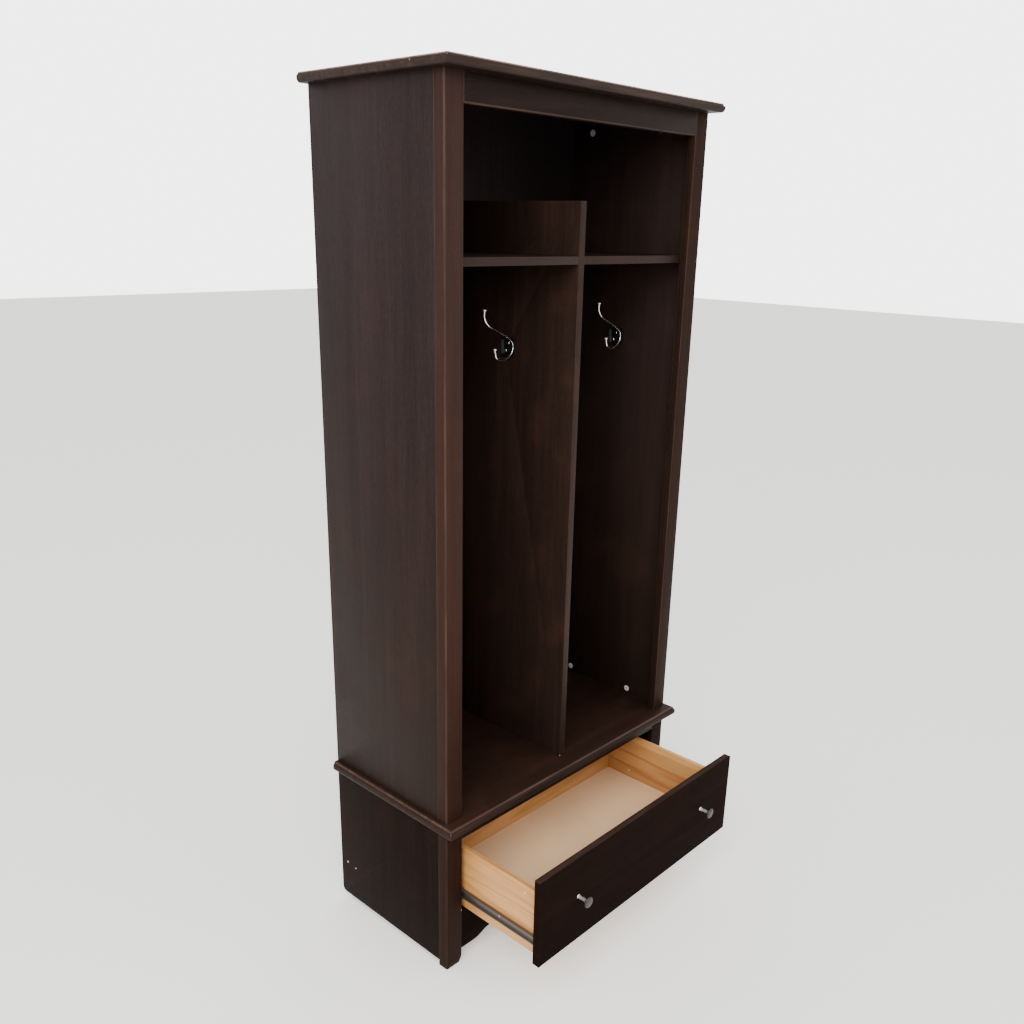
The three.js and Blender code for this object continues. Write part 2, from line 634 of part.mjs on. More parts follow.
// ---- slides, left side; depths run from the slide's own front end ----
function slidePacker() {
  const heights = [SLIDE_Z - PACKER_HEIGHT / 2, SLIDE_Z + PACKER_HEIGHT / 2];
  return box([-BETWEEN_PANELS, -BETWEEN_POSTS], [FRAME_THICKNESS, REAR_LEG_FRONT], heights);
}

function channel(outline, y0, y1) {
  return backwards(shapeFrom(outline), y0, y1);
}

function slideCabinetMember() {
  const base = -BETWEEN_POSTS;
  const reach = base + SLIDE_OUTER_REACH;
  const h = SLIDE_OUTER_HEIGHT / 2;
  const t = SLIDE_WALL;
  const lip = h - t - SLIDE_LIP;
  const z = SLIDE_Z;
  return channel([
    [base, z - h], [reach, z - h], [reach, z - lip], [reach - t, z - lip], [reach - t, z - h + t],
    [base + t, z - h + t], [base + t, z + h - t], [reach - t, z + h - t], [reach - t, z + lip],
    [reach, z + lip], [reach, z + h], [base, z + h],
  ], SLIDE_FRONT, SLIDE_FRONT + SLIDE_LENGTH);
}

function slideDrawerMember() {
  const base = -BOX_HALF;
  const reach = base - SLIDE_INNER_REACH;
  const h = SLIDE_INNER_HEIGHT / 2;
  const t = SLIDE_WALL;
  const z = SLIDE_Z;
  const front = SLIDE_FRONT - DRAWER_OPENING;
  return channel([
    [base, z - h], [base, z + h], [reach, z + h], [reach, z + h - t], [base - t, z + h - t],
    [base - t, z - h + t], [reach, z - h + t], [reach, z - h],
  ], front, front + SLIDE_LENGTH);
}

// The ball cage stays between the two members and moves half as far as the drawer.
function slideBallCage() {
  const base = -BETWEEN_POSTS + CAGE_WEB_OUT;
  const reach = -BETWEEN_POSTS + CAGE_REACH;
  const h = CAGE_HEIGHT / 2;
  const t = CAGE_WALL / 2;
  const z = SLIDE_Z;
  const front = SLIDE_FRONT + (SLIDE_LENGTH - CAGE_LENGTH - DRAWER_OPENING) / 2;
  return channel([
    [base, z - h], [reach, z - h], [reach, z - h + t], [base + t, z - h + t],
    [base + t, z + h - t], [reach, z + h - t], [reach, z + h], [base, z + h],
  ], front, front + CAGE_LENGTH);
}

// ---- glides under the feet ----
function glide([x, y], height) {
  const r = GLIDE_RADIUS;
  const profile = [
    [0, 0], [0.8 * r, 0], [r, 0.3 * height], [r, height], [0, height],
  ];
  return turned(profile, new THREE.Vector3(0, 1, 0), [0, 0, 0], 24).rotateX(Math.PI / 2).translate(x, y, 0);
}

// ---- materials ----
function material(color, roughness, metalness) {
  return new THREE.MeshStandardMaterial({ color, roughness, metalness });
}

const ESPRESSO = () => material(0x2f2320, 0.5, 0);
const BIRCH = () => material(0xc8a87c, 0.6, 0);
const HARDBOARD = () => material(0xcdb196, 0.65, 0);
const NICKEL = () => material(0xb9b6b0, 0.3, 1);
const CHROME = () => material(0xd8dadc, 0.12, 1);
const SLIDE_STEEL = () => material(0x6f6c68, 0.4, 1);
const COVER_GREY = () => material(0xb4b4b2, 0.45, 0);
const GLIDE_BEIGE = () => material(0xb9a791, 0.5, 0);

const group = new THREE.Group();
group.name = 'hall_tree';

function place(name, geometry, finish) {
  const whole = geometry.index ? geometry.toNonIndexed() : geometry;
  whole.translate(0, -MIDDLE_DEPTH, 0);
  whole.computeVertexNormals();
  const mesh = new THREE.Mesh(whole, finish());
  mesh.name = name;
  group.add(mesh);
}

function placePair(name, build, finish) {
  place(`${name}_left`, build(), finish);
  place(`${name}_right`, mirrored(build()), finish);
}

place('cap_top', capTop(), ESPRESSO);
place('upper_side_panel_left', upperSidePanel(), ESPRESSO);
place('upper_side_panel_right', rightPanelWithHook(), ESPRESSO);
placePair('upper_post', upperPost, ESPRESSO);
place('top_front_rail', topFrontRail(), ESPRESSO);
place('upper_back_panel', backPanel(SLAB_TOP_Z, CAP_UNDERSIDE_Z), ESPRESSO);
place('divider_panel', dividerPanel(), ESPRESSO);
place('shelf', shelf(), ESPRESSO);

const HOOK_BOARDS = [['left', -DIVIDER_THICKNESS / 2], ['right', BETWEEN_PANELS]];
for (const [side, face] of HOOK_BOARDS) {
  place(`hook_${side}`, hook(face), CHROME);
  HOOK_SCREWS.forEach((spot, i) => {
    place(`hook_${side}_screw_${i + 1}`, hookScrew(face, spot), CHROME);
  });
}
coverPlaces().forEach((spot, i) => {
  placePair(`screw_cover_${i + 1}`, () => cover(spot), COVER_GREY);
});

place('base_slab', baseSlab(), ESPRESSO);
placePair('base_post', basePost, ESPRESSO);
placePair('base_side_panel', baseSidePanel, ESPRESSO);
placePair('rear_leg', rearLeg, ESPRESSO);
place('base_top_rail', baseTopRail(), ESPRESSO);
place('apron_rail', apronRail(), ESPRESSO);
place('base_back_panel', backPanel(BACK_LOWER_EDGE_Z, SLAB_UNDERSIDE_Z), ESPRESSO);
placePair('foot_glide_front', () => glide([-HALF + FRONT_GLIDE_SPOT[0], FRONT_GLIDE_SPOT[1]],
  FRONT_GLIDE_HEIGHT), GLIDE_BEIGE);
placePair('foot_glide_rear', () => glide([-(BETWEEN_PANELS + BETWEEN_POSTS) / 2,
  (REAR_LEG_FRONT + BACK_FACE) / 2], REAR_GLIDE_HEIGHT), GLIDE_BEIGE);
placePair('slide_packer', slidePacker, BIRCH);
placePair('slide_cabinet_member', slideCabinetMember, SLIDE_STEEL);
placePair('slide_ball_cage', slideBallCage, SLIDE_STEEL);
placePair('slide_drawer_member', slideDrawerMember, SLIDE_STEEL);

place('drawer_front', drawerFront(), ESPRESSO);
place('drawer_box_front', boxFront(), BIRCH);
place('drawer_box_back', boxBack(), BIRCH);
placePair('drawer_side', drawerSide, BIRCH);
place('drawer_bottom', drawerBottom(), HARDBOARD);
for (const [name, side] of [['left', -1], ['right', 1]]) {
  place(`knob_${name}`, knob(side), NICKEL);
  place(`knob_screw_${name}`, knobScrew(side), SLIDE_STEEL);
}

export default group;
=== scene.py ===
"""Builds the finished look of an espresso-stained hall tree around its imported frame."""
from math import cos, radians, sin

import bpy
from bpy.props import FloatProperty, FloatVectorProperty, IntProperty, PointerProperty
from bpy.types import Operator, Panel, PropertyGroup
from mathutils import Matrix, Vector


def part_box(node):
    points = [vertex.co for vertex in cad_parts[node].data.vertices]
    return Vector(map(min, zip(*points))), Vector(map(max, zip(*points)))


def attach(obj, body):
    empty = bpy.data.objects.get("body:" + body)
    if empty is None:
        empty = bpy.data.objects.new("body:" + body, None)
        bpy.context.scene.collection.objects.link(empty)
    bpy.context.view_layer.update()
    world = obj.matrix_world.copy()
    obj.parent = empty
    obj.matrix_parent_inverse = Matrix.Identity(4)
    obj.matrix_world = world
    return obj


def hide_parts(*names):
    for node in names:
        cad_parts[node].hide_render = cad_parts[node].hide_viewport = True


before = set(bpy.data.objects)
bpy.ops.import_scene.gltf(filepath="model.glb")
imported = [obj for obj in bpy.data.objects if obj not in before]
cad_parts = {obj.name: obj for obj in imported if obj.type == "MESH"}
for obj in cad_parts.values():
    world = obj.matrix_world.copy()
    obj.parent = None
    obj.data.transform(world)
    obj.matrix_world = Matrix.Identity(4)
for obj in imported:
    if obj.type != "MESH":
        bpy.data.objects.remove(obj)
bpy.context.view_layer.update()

bl_info = {
    "name": "Hall Tree",
    "version": (1, 0, 0),
    "blender": (4, 5, 0),
    "location": "3D View > Sidebar > Hall Tree",
    "description": "Builds a stained hall tree with hooks, a shelf and a drawer",
    "category": "Add Mesh",
}

MM = 0.001
CLOSE = MM * 0.1  # places nearer than this count as the same
ALONG = {"x": 0, "y": 1, "z": 2}


# ---------------------------------------------------------------- settings
def colour(name, description, default):
    return FloatVectorProperty(
        name=name, description=description, subtype="COLOR", size=3, min=0, max=1, default=default)


def length(name, description, default):
    return FloatProperty(name=name, description=description, subtype="DISTANCE", unit="LENGTH",
                         min=0, default=default)


def amount(name, description, default, unit="NONE"):
    return FloatProperty(name=name, description=description, unit=unit, min=0, default=default)


class StainSettings(PropertyGroup):
    dark: colour("Dark grain", "Stain where the grain is dense", (0.0085, 0.0047, 0.0036))
    light: colour("Light grain", "Stain where the grain is open", (0.0260, 0.0146, 0.0112))
    warm: colour("Warm tint", "Reddish wood that shows through the stain", (0.0480, 0.0200, 0.0125))
    # Purple painted sheen: a painted reflection of the pale surroundings high on the sides, posts and back
    # panels
    painted_light: colour("Painted sheen", "Purple painted sheen high on the sides", (0.0195, 0.0130, 0.0142))
    # Lighter edge colour: stain rubbed thin along the edges, and painted highlight on the lit edge faces it
    # is given to
    arris: colour("Arris", "Stain rubbed thin along the edges, and painted highlight on lit edges", (0.0740, 0.0450, 0.0360))
    bare: colour("Bare wood", "Wood under a chip in the stain", (0.62, 0.55, 0.47))
    gloss: FloatProperty(name="Roughness", description="Roughness of the lacquer", min=0, max=1,
                         subtype="FACTOR", default=0.44)


class PaleWoodSettings(PropertyGroup):
    board: colour("Board", "Pale drawer board", (0.62, 0.42, 0.235))
    grain: colour("Grain", "Darker lines in the drawer boards", (0.42, 0.245, 0.115))
    floor: colour("Drawer floor", "Smooth drawer floor panel", (0.73, 0.47, 0.27))


class JoinerySettings(PropertyGroup):
    easing: length("Easing", "Softened edge on every board", 0.0011)
    round_over: length("Round-over", "Radius of the posts' outer front edge", 0.0045)
    front_round: length("Drawer round", "Radius around the drawer front's face", 0.0036)
    front_corner: length("Drawer corner", "Radius of the drawer front's corners", 0.0024)
    rounds: IntProperty(name="Round steps", description="Flats around a rounded edge", min=1, default=5)


class MetalSettings(PropertyGroup):
    chrome: colour("Chrome", "Bright plate on the hooks", (0.78, 0.78, 0.77))
    # A paler, rougher copy of the chrome for the buttons: painted highlight
    tip: colour("Hook tips", "Frosted plate on the hooks' buttons", (0.95, 0.95, 0.94))
    nickel: colour("Nickel", "Satin plate on the knobs", (0.78, 0.76, 0.72))
    # A darker copy of the knobs' plating for their faces: painted shade
    disc: colour("Knob disc", "Darker copy of the plating on the knob faces: painted shade", (0.055, 0.050, 0.042))
    plate: colour("Hook plate", "Dark plate behind each hook", (0.004, 0.003, 0.003))
    steel: colour("Steel", "Dulled zinc plate on the slides", (0.18, 0.155, 0.14))
    wire_radius: length("Hook wire radius", "Half the thickness of the hooks' wire", 0.0023)


class StageSettings(PropertyGroup):
    floor: colour("Floor", "Plain pale floor", (0.86, 0.85, 0.83))
    sky: colour("Surroundings", "Pale light from all around", (0.93, 0.93, 0.92))
    sky_strength: amount("Surroundings strength", "How bright the surroundings are", 1.7)
    wall_strength: amount("Background strength", "How bright the background looks", 4.8)
    key_power: amount("Key light", "Power of the large light on the left", 150, "POWER")
    fill_power: amount("Fill light", "Power of the soft light in front", 25, "POWER")


class HallTreeSettings(PropertyGroup):
    stain: PointerProperty(type=StainSettings)
    pale: PointerProperty(type=PaleWoodSettings)
    joinery: PointerProperty(type=JoinerySettings)
    metal: PointerProperty(type=MetalSettings)
    stage: PointerProperty(type=StageSettings)


def settings():
    return bpy.context.scene.hall_tree


# ---------------------------------------------------------------- shader building
class Number:
    """A number inside a shader. Sums and products of numbers add Math nodes."""

    def __init__(self, finish, socket):
        self.finish = finish
        self.socket = socket

    def math(self, operation, *values):
        return self.finish.add("ShaderNodeMath", {"operation": operation}, dict(enumerate(values)))

    def __add__(self, other):
        return self.math("ADD", self, other)

    def __sub__(self, other):
        return self.math("SUBTRACT", self, other)

    def __rsub__(self, other):
        return self.math("SUBTRACT", other, self)

    def __mul__(self, other):
        return self.math("MULTIPLY", self, other)

    __radd__ = __add__
    __rmul__ = __mul__

    def between(self, low, high):
        """0 at low, 1 at high, held outside."""
        span = {"From Min": low, "From Max": high}
        return self.finish.add("ShaderNodeMapRange", {"clamp": True}, {"Value": self, **span})

    def smooth(self, low, high):
        """Like between, with soft ends."""
        span = {"From Min": low, "From Max": high}
        kind = {"interpolation_type": "SMOOTHSTEP"}
        return self.finish.add("ShaderNodeMapRange", kind, {"Value": self, **span})


class Finish:
    """A procedural material under construction."""

    def __init__(self, name):
        self.material = bpy.data.materials.new(name)
        self.material.use_nodes = True
        self.tree = self.material.node_tree
        self.tree.nodes.clear()
        output = self.tree.nodes.new("ShaderNodeOutputMaterial")
        self.shader = self.tree.nodes.new("ShaderNodeBsdfPrincipled")
        self.tree.links.new(self.shader.outputs["BSDF"], output.inputs["Surface"])
        self.place = self.add("ShaderNodeTexCoord", output="Object")

    def feed(self, node, sockets):
        for key, value in sockets.items():
            if isinstance(value, Number):
                self.tree.links.new(value.socket, node.inputs[key])
            else:
                node.inputs[key].default_value = value

    def add(self, kind, options=None, sockets=None, output=0):
        """Adds a node by type, with its settings and then its sockets, and gives one of its outputs."""
        node = self.tree.nodes.new(kind)
        for key, value in (options or {}).items():
            setattr(node, key, value)
        self.feed(node, sockets or {})
        return Number(self, node.outputs[output])

    def stretched(self, scale, shift=(0, 0, 0)):
        """Object places stretched by a scale for each axis."""
        sockets = {"Vector": self.place, "Scale": scale, "Location": shift}
        return self.add("ShaderNodeMapping", {"vector_type": "POINT"}, sockets)

    def noise(self, scale, shift=(0, 0, 0), detail=3.0, roughness=0.55, distortion=0.0):
        sockets = {"Vector": self.stretched(scale, shift), "Scale": 1.0, "Detail": detail,
                   "Roughness": roughness, "Distortion": distortion}
        return self.add("ShaderNodeTexNoise", {"noise_dimensions": "3D"}, sockets)

    def mix(self, factor, first, second):
        options = {"data_type": "RGBA", "clamp_factor": True}
        sockets = {0: factor, 6: opaque(first), 7: opaque(second)}
        return self.add("ShaderNodeMix", options, sockets, output=2)

    def axis(self, letter):
        return self.add("ShaderNodeSeparateXYZ", None, {0: self.place}, output=ALONG[letter])

    def near(self, point, radius, soft):
        """1 inside a small ball around a point, fading out over its rim."""
        away = self.add("ShaderNodeVectorMath", {"operation": "DISTANCE"},
                        {0: self.place, 1: point}, output="Value")
        return 1 - away.smooth(radius * (1 - soft), radius)

    def bump(self, height, distance, strength):
        sockets = {"Height": height, "Distance": distance, "Strength": strength}
        return self.add("ShaderNodeBump", None, sockets)

    def finish(self, sockets):
        self.feed(self.shader, sockets)
        return self.material


def opaque(shade):
    if isinstance(shade, Number):
        return shade
    return (*tuple(shade)[:3], 1.0)


def grain_scale(grain, across, along):
    return tuple(along if letter == grain else across for letter in "xyz")


MADE = {}


def made_once(make):
    """Keeps every finish, so that pieces finished alike share it."""
    def fetch(*choices, **options):
        key = (make.__name__, repr(choices), repr(options))
        if key not in MADE:
            MADE[key] = make(*choices, **options)
        return MADE[key]
    return fetch


@made_once
def stained(grain, arris=False, chips=(), tone=1.0, warmth=0.0, gleam=0.08, painted_light=0.0):
    """Dark stained wood whose grain runs along one axis; the arris version is lighter, stain rubbed thin
    along edges and painted highlight on the lit faces it is given to. An optional amount adds purple painted
    sheen high up and painted shade near the floor.
    """
    stain = settings().stain
    name = f"espresso_{grain}_{'arris' if arris else 'face'}_{len(MADE)}"
    wood = Finish(name)
    board = wood.noise(grain_scale(grain, 5.0, 0.7), detail=1.0)
    ribbon = wood.noise(grain_scale(grain, 46.0, 1.6), shift=(3, 1, 2), detail=3.0, distortion=0.25)
    streak = wood.noise(grain_scale(grain, 330.0, 8.0), detail=4.0, roughness=0.62)
    pore = wood.noise(grain_scale(grain, 1500.0, 55.0), shift=(7, 5, 9), detail=2.0, roughness=0.5)
    fleck = wood.noise(grain_scale(grain, 420.0, 120.0), shift=(5, 9, 6), detail=2.0, roughness=0.6)
    blotch = wood.noise((9.0, 9.0, 9.0), shift=(2, 8, 4), detail=2.5)
    pores = pore.smooth(0.58, 0.72)
    light = (board * 0.32 + ribbon * 0.16 + streak * 0.34 + fleck * 0.30).between(0.40, 0.78)
    low = Vector(stain.dark) * tone
    high = Vector(stain.light) * tone
    shade = wood.mix(light, low, high)
    reddish = (ribbon.smooth(0.46, 0.74) * 0.14 + blotch.smooth(0.48, 0.80) * 0.25 + warmth).between(0, 1)
    shade = wood.mix(reddish, shade, Vector(stain.warm) * tone)
    shade = wood.mix(pores * 0.45, shade, low * 0.5)
    if painted_light:
        # Purple painted sheen rising with height: a painted reflection of the pale surroundings on the upper
        # boards
        painted_sheen = wood.mix(light, Vector(stain.painted_light) * tone * 0.55, Vector(stain.painted_light) * tone * 1.45)
        height = wood.axis("z")
        shade = wood.mix(height.smooth(0.7, 1.8) * painted_light, shade, painted_sheen)
        # Painted shade: darker towards the floor
        shade = wood.mix((1 - height.smooth(0.35, 1.2)) * 0.35, shade, low)
    # Edge finish: stain rubbed thin, and painted highlight where it is laid on lit faces
    if arris:
        wear_and_highlight = wood.noise(grain_scale(grain, 60.0, 7.0), shift=(4, 4, 1), detail=3.0)
        rubbed = wear_and_highlight.smooth(0.36, 0.72) * 0.45 + streak * 0.35 + 0.15
        shade = wood.mix(rubbed.between(0.0, 1.0), shade, Vector(stain.arris) * tone)
    rough = stain.gloss + streak * 0.10 + blotch.smooth(0.4, 0.8) * 0.08 + pores * 0.12 - 0.05
    relief = streak * 0.6 + pores * -0.9
    for point, radius in chips:
        chip = wood.near(point, radius, soft=0.35)
        shade = wood.mix(chip, shade, stain.bare)
        rough = rough + chip * 0.3
        relief = relief - chip * 1.5
    return wood.finish({
        "Base Color": shade,
        "Roughness": rough,
        "Normal": wood.bump(relief, 0.00012, 0.45),
        "Specular IOR Level": gleam,
        "IOR": 1.45,
    })


@made_once
def pale_wood(grain, tone=(1, 1, 1), figure=1.0, light_strip=None, seed=0.0):
    """Clear-lacquered pale wood for the drawer box."""
    pale = settings().pale
    wood = Finish(f"pale_wood_{grain}_{len(MADE)}")
    shift = (seed, seed * 0.7, seed * 1.3)
    bend = wood.noise(grain_scale(grain, 13.0, 1.3), shift=shift, detail=1.5, distortion=0.4)
    turns = bend * 11.0
    rings = turns.math("PINGPONG", turns, 1.0)
    fine = wood.noise(grain_scale(grain, 420.0, 9.0), shift=shift, detail=4.0, roughness=0.6)
    broad = wood.noise(grain_scale(grain, 22.0, 1.6), shift=shift, detail=2.0)
    fleck = wood.noise(grain_scale(grain, 1500.0, 110.0), shift=shift, detail=1.0).smooth(0.60, 0.70)
    board = [a * b for a, b in zip(pale.board, tone)]
    line = [a * b for a, b in zip(pale.grain, tone)]
    factor = (rings.smooth(0.45, 1.0) * 0.62 * figure + fine.smooth(0.36, 0.70) * 0.42
              + broad.smooth(0.38, 0.72) * 0.40)
    shade = wood.mix(factor.between(0, 1), board, line)
    shade = wood.mix(fleck * 0.3, shade, Vector(line) * 0.6)
    if light_strip:
        height = wood.axis("z")
        strip = height.smooth(light_strip - 0.0006, light_strip + 0.0006)
        shade = wood.mix(strip * 0.75, shade, [c * 1.25 for c in board])
    return wood.finish({
        "Base Color": shade,
        "Roughness": 0.46 + fine * 0.16,
        "Normal": wood.bump(fine * 0.6 + rings * 0.4, 0.0001, 0.35),
        "Coat Weight": 0.15,
        "Coat Roughness": 0.3,
        "IOR": 1.46,
    })


def floor_panel():
    """Smooth pale sheet of the drawer's floor, faintly mottled, with a few scuffs."""
    pale = settings().pale
    panel = Finish("drawer_floor_panel")
    fibre = panel.noise((900.0, 900.0, 900.0), detail=3.0)
    cloud = panel.noise((7.0, 7.0, 7.0), shift=(3, 2, 1), detail=3.0)
    scuff = panel.noise((12.0, 160.0, 12.0), shift=(1, 6, 2), detail=2.0).smooth(0.66, 0.78)
    shade = panel.mix(cloud.smooth(0.35, 0.7) * 0.5, pale.floor, Vector(pale.floor) * 0.86)
    shade = panel.mix(fibre.smooth(0.55, 0.75) * 0.16, shade, Vector(pale.floor) * 0.70)
    shade = panel.mix(scuff * 0.12, shade, (0.30, 0.21, 0.15))
    return panel.finish({
        "Base Color": shade,
        "Roughness": 0.48 + fibre * 0.18,
        "Normal": panel.bump(fibre, 0.00005, 0.3),
    })


TARNISH = (0.16, 0.14, 0.12)


@made_once
def metal(name, shade, roughness, brushed=None, wear=0.2):
    """Plated metal: fine scratches, a little tarnish and finger marks."""
    plate = Finish(name)
    scratch_scale = grain_scale(brushed, 2600.0, 60.0) if brushed else (1400.0, 1400.0, 1400.0)
    scratch = plate.noise(scratch_scale, detail=2.0, roughness=0.6)
    smudge = plate.noise((60.0, 60.0, 60.0), shift=(5, 3, 1), detail=3.0)
    dull = smudge.smooth(0.5, 0.78) * wear
    return plate.finish({
        "Base Color": plate.mix(dull, shade, TARNISH),
        "Metallic": 1.0,
        "Roughness": roughness + smudge * 0.12 + scratch * 0.06,
        "Normal": plate.bump(scratch, 0.00003, 0.25),
    })


@made_once
def moulded_plastic(name, shade, roughness, speckle=0.1):
    """Moulded plastic with a fine skin and slight soiling."""
    skin = Finish(name)
    pebble = skin.noise((1800.0, 1800.0, 1800.0), detail=2.0)
    soil = skin.noise((140.0, 140.0, 140.0), shift=(1, 2, 3), detail=3.0)
    return skin.finish({
        "Base Color": skin.mix(soil.smooth(0.5, 0.8) * speckle, shade, Vector(shade) * 0.45),
        "Roughness": roughness + soil * 0.12,
        "Specular IOR Level": 0.3,
        "Normal": skin.bump(pebble, 0.00004, 0.3),
    })


# ---------------------------------------------------------------- modelling
def object_mode():
    if bpy.context.mode != "OBJECT":
        bpy.ops.object.mode_set(mode="OBJECT")


def deselect():
    object_mode()
    bpy.ops.object.select_all(action="DESELECT")


def activate(piece):
    deselect()
    piece.select_set(True)
    bpy.context.view_layer.objects.active = piece


def pick(piece, kind, test):
    """Opens the piece for editing with only the verts, edges or faces that pass the test selected."""
    activate(piece)
    mesh = piece.data
    for part in (mesh.vertices, mesh.edges, mesh.polygons):
        part.foreach_set("select", [False] * len(part))
    parts, seen = {
        "VERT": (mesh.vertices, lambda v: (v.co,)),
        "EDGE": (mesh.edges, lambda e: [mesh.vertices[i].co for i in e.vertices]),
        "FACE": (mesh.polygons, lambda f: (f.center, f.normal)),
    }[kind]
    found = 0
    for part in parts:
        part.select = bool(test(*seen(part)))
        found += part.select
    if not found:
        raise RuntimeError(f"nothing to edit on {piece.name}")
    bpy.ops.object.mode_set(mode="EDIT")
    bpy.ops.mesh.select_mode(type=kind)


def edit_all(piece):
    activate(piece)
    bpy.ops.object.mode_set(mode="EDIT")
    bpy.ops.mesh.select_mode(type="VERT")
    bpy.ops.mesh.select_all(action="SELECT")


def move(offset):
    bpy.ops.transform.translate(value=offset)


def named(name):
    piece = bpy.context.object
    piece.name = name
    piece.data.name = name
    return piece


def block(name, low, high):
    """A cube brought to size and place in edit mode, so its object stays at the origin."""
    deselect()
    bpy.ops.mesh.primitive_cube_add(size=1)
    piece = named(name)
    edit_all(piece)
    bpy.ops.transform.resize(value=[b - a for a, b in zip(low, high)])
    move([(a + b) / 2 for a, b in zip(low, high)])
    object_mode()
    return piece


def slice_at(piece, axis, places):
    """Cuts lines around a piece at places along an axis."""
    for place in places:
        point = Vector((0, 0, 0))
        normal = Vector((0, 0, 0))
        point[ALONG[axis]] = place
        normal[ALONG[axis]] = 1
        edit_all(piece)
        bpy.ops.mesh.bisect(plane_co=point, plane_no=normal, threshold=1e-6)
    object_mode()


def round_edges(piece, test, radius, steps, **options):
    """Bevels the edges whose two ends both pass the test."""
    pick(piece, "EDGE", lambda a, b: test(a) and test(b))
    bpy.ops.mesh.bevel(offset=radius, segments=steps, affect="EDGES", **options)
    object_mode()


def ease(piece, width=None, angle=28):
    """Softens every sharp edge; the new faces take the piece's second material."""
    while len(piece.data.materials) < 2:
        piece.data.materials.append(None)
    activate(piece)
    bevel = piece.modifiers.new("Bevel", "BEVEL")
    bevel.width = settings().joinery.easing if width is None else width
    bevel.segments = 2
    bevel.limit_method = "ANGLE"
    bevel.angle_limit = radians(angle)
    bevel.material = 1
    bevel.harden_normals = False
    bevel.use_clamp_overlap = True
    bpy.ops.object.modifier_apply(modifier=bevel.name)


def smooth(piece, angle=32):
    activate(piece)
    bpy.ops.object.shade_smooth_by_angle(angle=radians(angle))


def copy_of(node, name):
    """A clean copy of a frame solid: doubles merged and flat faces joined, ready to be worked on."""
    activate(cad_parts[node])
    bpy.ops.object.duplicate()
    piece = named(name)
    piece.parent = None
    piece.matrix_world = Matrix.Identity(4)
    for key in list(piece.keys()):
        del piece[key]
    piece.data.materials.clear()
    edit_all(piece)
    bpy.ops.mesh.customdata_custom_splitnormals_clear()
    bpy.ops.mesh.remove_doubles(threshold=1e-6)
    bpy.ops.mesh.dissolve_limited(angle_limit=radians(0.6))
    object_mode()
    return piece


def in_metres(profile):
    return [(radius * MM, height * MM) for radius, height in profile]


def turned(name, profile, direction, at, sides):
    """Turns a piece up from its foot: each step of the profile is an extrude and a resize."""
    radius, height = profile[0]
    deselect()
    bpy.ops.mesh.primitive_circle_add(vertices=sides, radius=radius, fill_type="NGON")
    piece = named(name)
    edit_all(piece)
    move((0, 0, height))
    for next_radius, next_height in profile[1:]:
        bpy.ops.mesh.extrude_region_move(TRANSFORM_OT_translate={"value": (0, 0, next_height - height)})
        scale = next_radius / radius
        bpy.ops.transform.resize(value=(scale, scale, 1), center_override=(0, 0, next_height))
        radius, height = next_radius, next_height
    turn = Vector((0, 0, 1)).rotation_difference(Vector(direction)).to_matrix().to_4x4()
    object_mode()
    piece.data.transform(Matrix.Translation(at) @ turn)
    edit_all(piece)
    bpy.ops.mesh.normals_make_consistent(inside=False)
    object_mode()
    return piece


def joined(name, pieces):
    activate(pieces[0])
    for piece in pieces[1:]:
        piece.select_set(True)
    bpy.ops.object.join()
    return named(name)


def dress(piece, materials):
    """Fills the piece's slots in order; each face keeps the slot it was given."""
    slots = piece.data.materials
    while len(slots) < len(materials):
        slots.append(None)
    for i, material in enumerate(materials):
        slots[i] = material


def done(piece, body, materials, nodes=()):
    """Gives a finished piece its materials, ties it to its body and hides the frame solids it replaces."""
    object_mode()
    dress(piece, materials)
    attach(piece, body)
    if nodes:
        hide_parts(*nodes)
    return piece


def wooden(piece, body, node, grain, chips=(), tone=1.0, warmth=0.0, arris_tone=1.0, gleam=0.08, painted_light=0.0,
           painted_crest_highlight=None):
    """Finishes a stained board: soft shading, and its face and edge finishes."""
    smooth(piece)
    # An optional third, much lighter edge finish is a painted highlight along the top arris of a moulding
    tones = [tone, tone * arris_tone] + ([tone * painted_crest_highlight] if painted_crest_highlight else [])
    finishes = [stained(grain, i > 0, chips, own, warmth, gleam, painted_light) for i, own in enumerate(tones)]
    return done(piece, body, finishes, [node])


def mirrored_copy(piece, name):
    """A mirror image across the middle plane, with its own mesh."""
    activate(piece)
    bpy.ops.object.duplicate()
    copy = named(name)
    edit_all(copy)
    bpy.ops.transform.mirror(constraint_axis=(True, False, False), center_override=(0, 0, 0))
    bpy.ops.mesh.normals_make_consistent(inside=False)
    object_mode()
    return copy


def another(piece, name, offset):
    """A copy with its own mesh, moved by an offset."""
    activate(piece)
    bpy.ops.object.duplicate()
    copy = named(name)
    edit_all(copy)
    move(offset)
    object_mode()
    return copy


def middle_of(node):
    low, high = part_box(node)
    return (low + high) / 2


# ---------------------------------------------------------------- moulded boards
CAP_PROFILE = (
    (6.8, 0.0), (5.0, 0.5), (3.6, 1.4), (2.3, 2.8), (1.2, 4.6), (0.45, 6.8), (0.05, 9.0), (0.0, 10.6),
    (0.35, 12.2), (1.1, 13.6), (2.1, 14.7), (3.1, 15.3), (3.5, 15.5), (3.55, 16.2), (3.6, 17.6),
    (3.85, 18.3), (4.35, 18.8), (5.0, 19.0),
)
SLAB_PROFILE = (
    (5.2, 0.0), (3.6, 0.3), (2.2, 1.2), (1.1, 2.7), (0.4, 4.6), (0.05, 6.8), (0.0, 8.6), (0.1, 10.4),
    (0.5, 12.4), (1.2, 14.4), (2.2, 16.2), (3.2, 17.4), (3.5, 17.9), (3.6, 18.9), (4.1, 20.2),
    (5.0, 21.3), (6.2, 22.1), (7.2, 22.5),
)


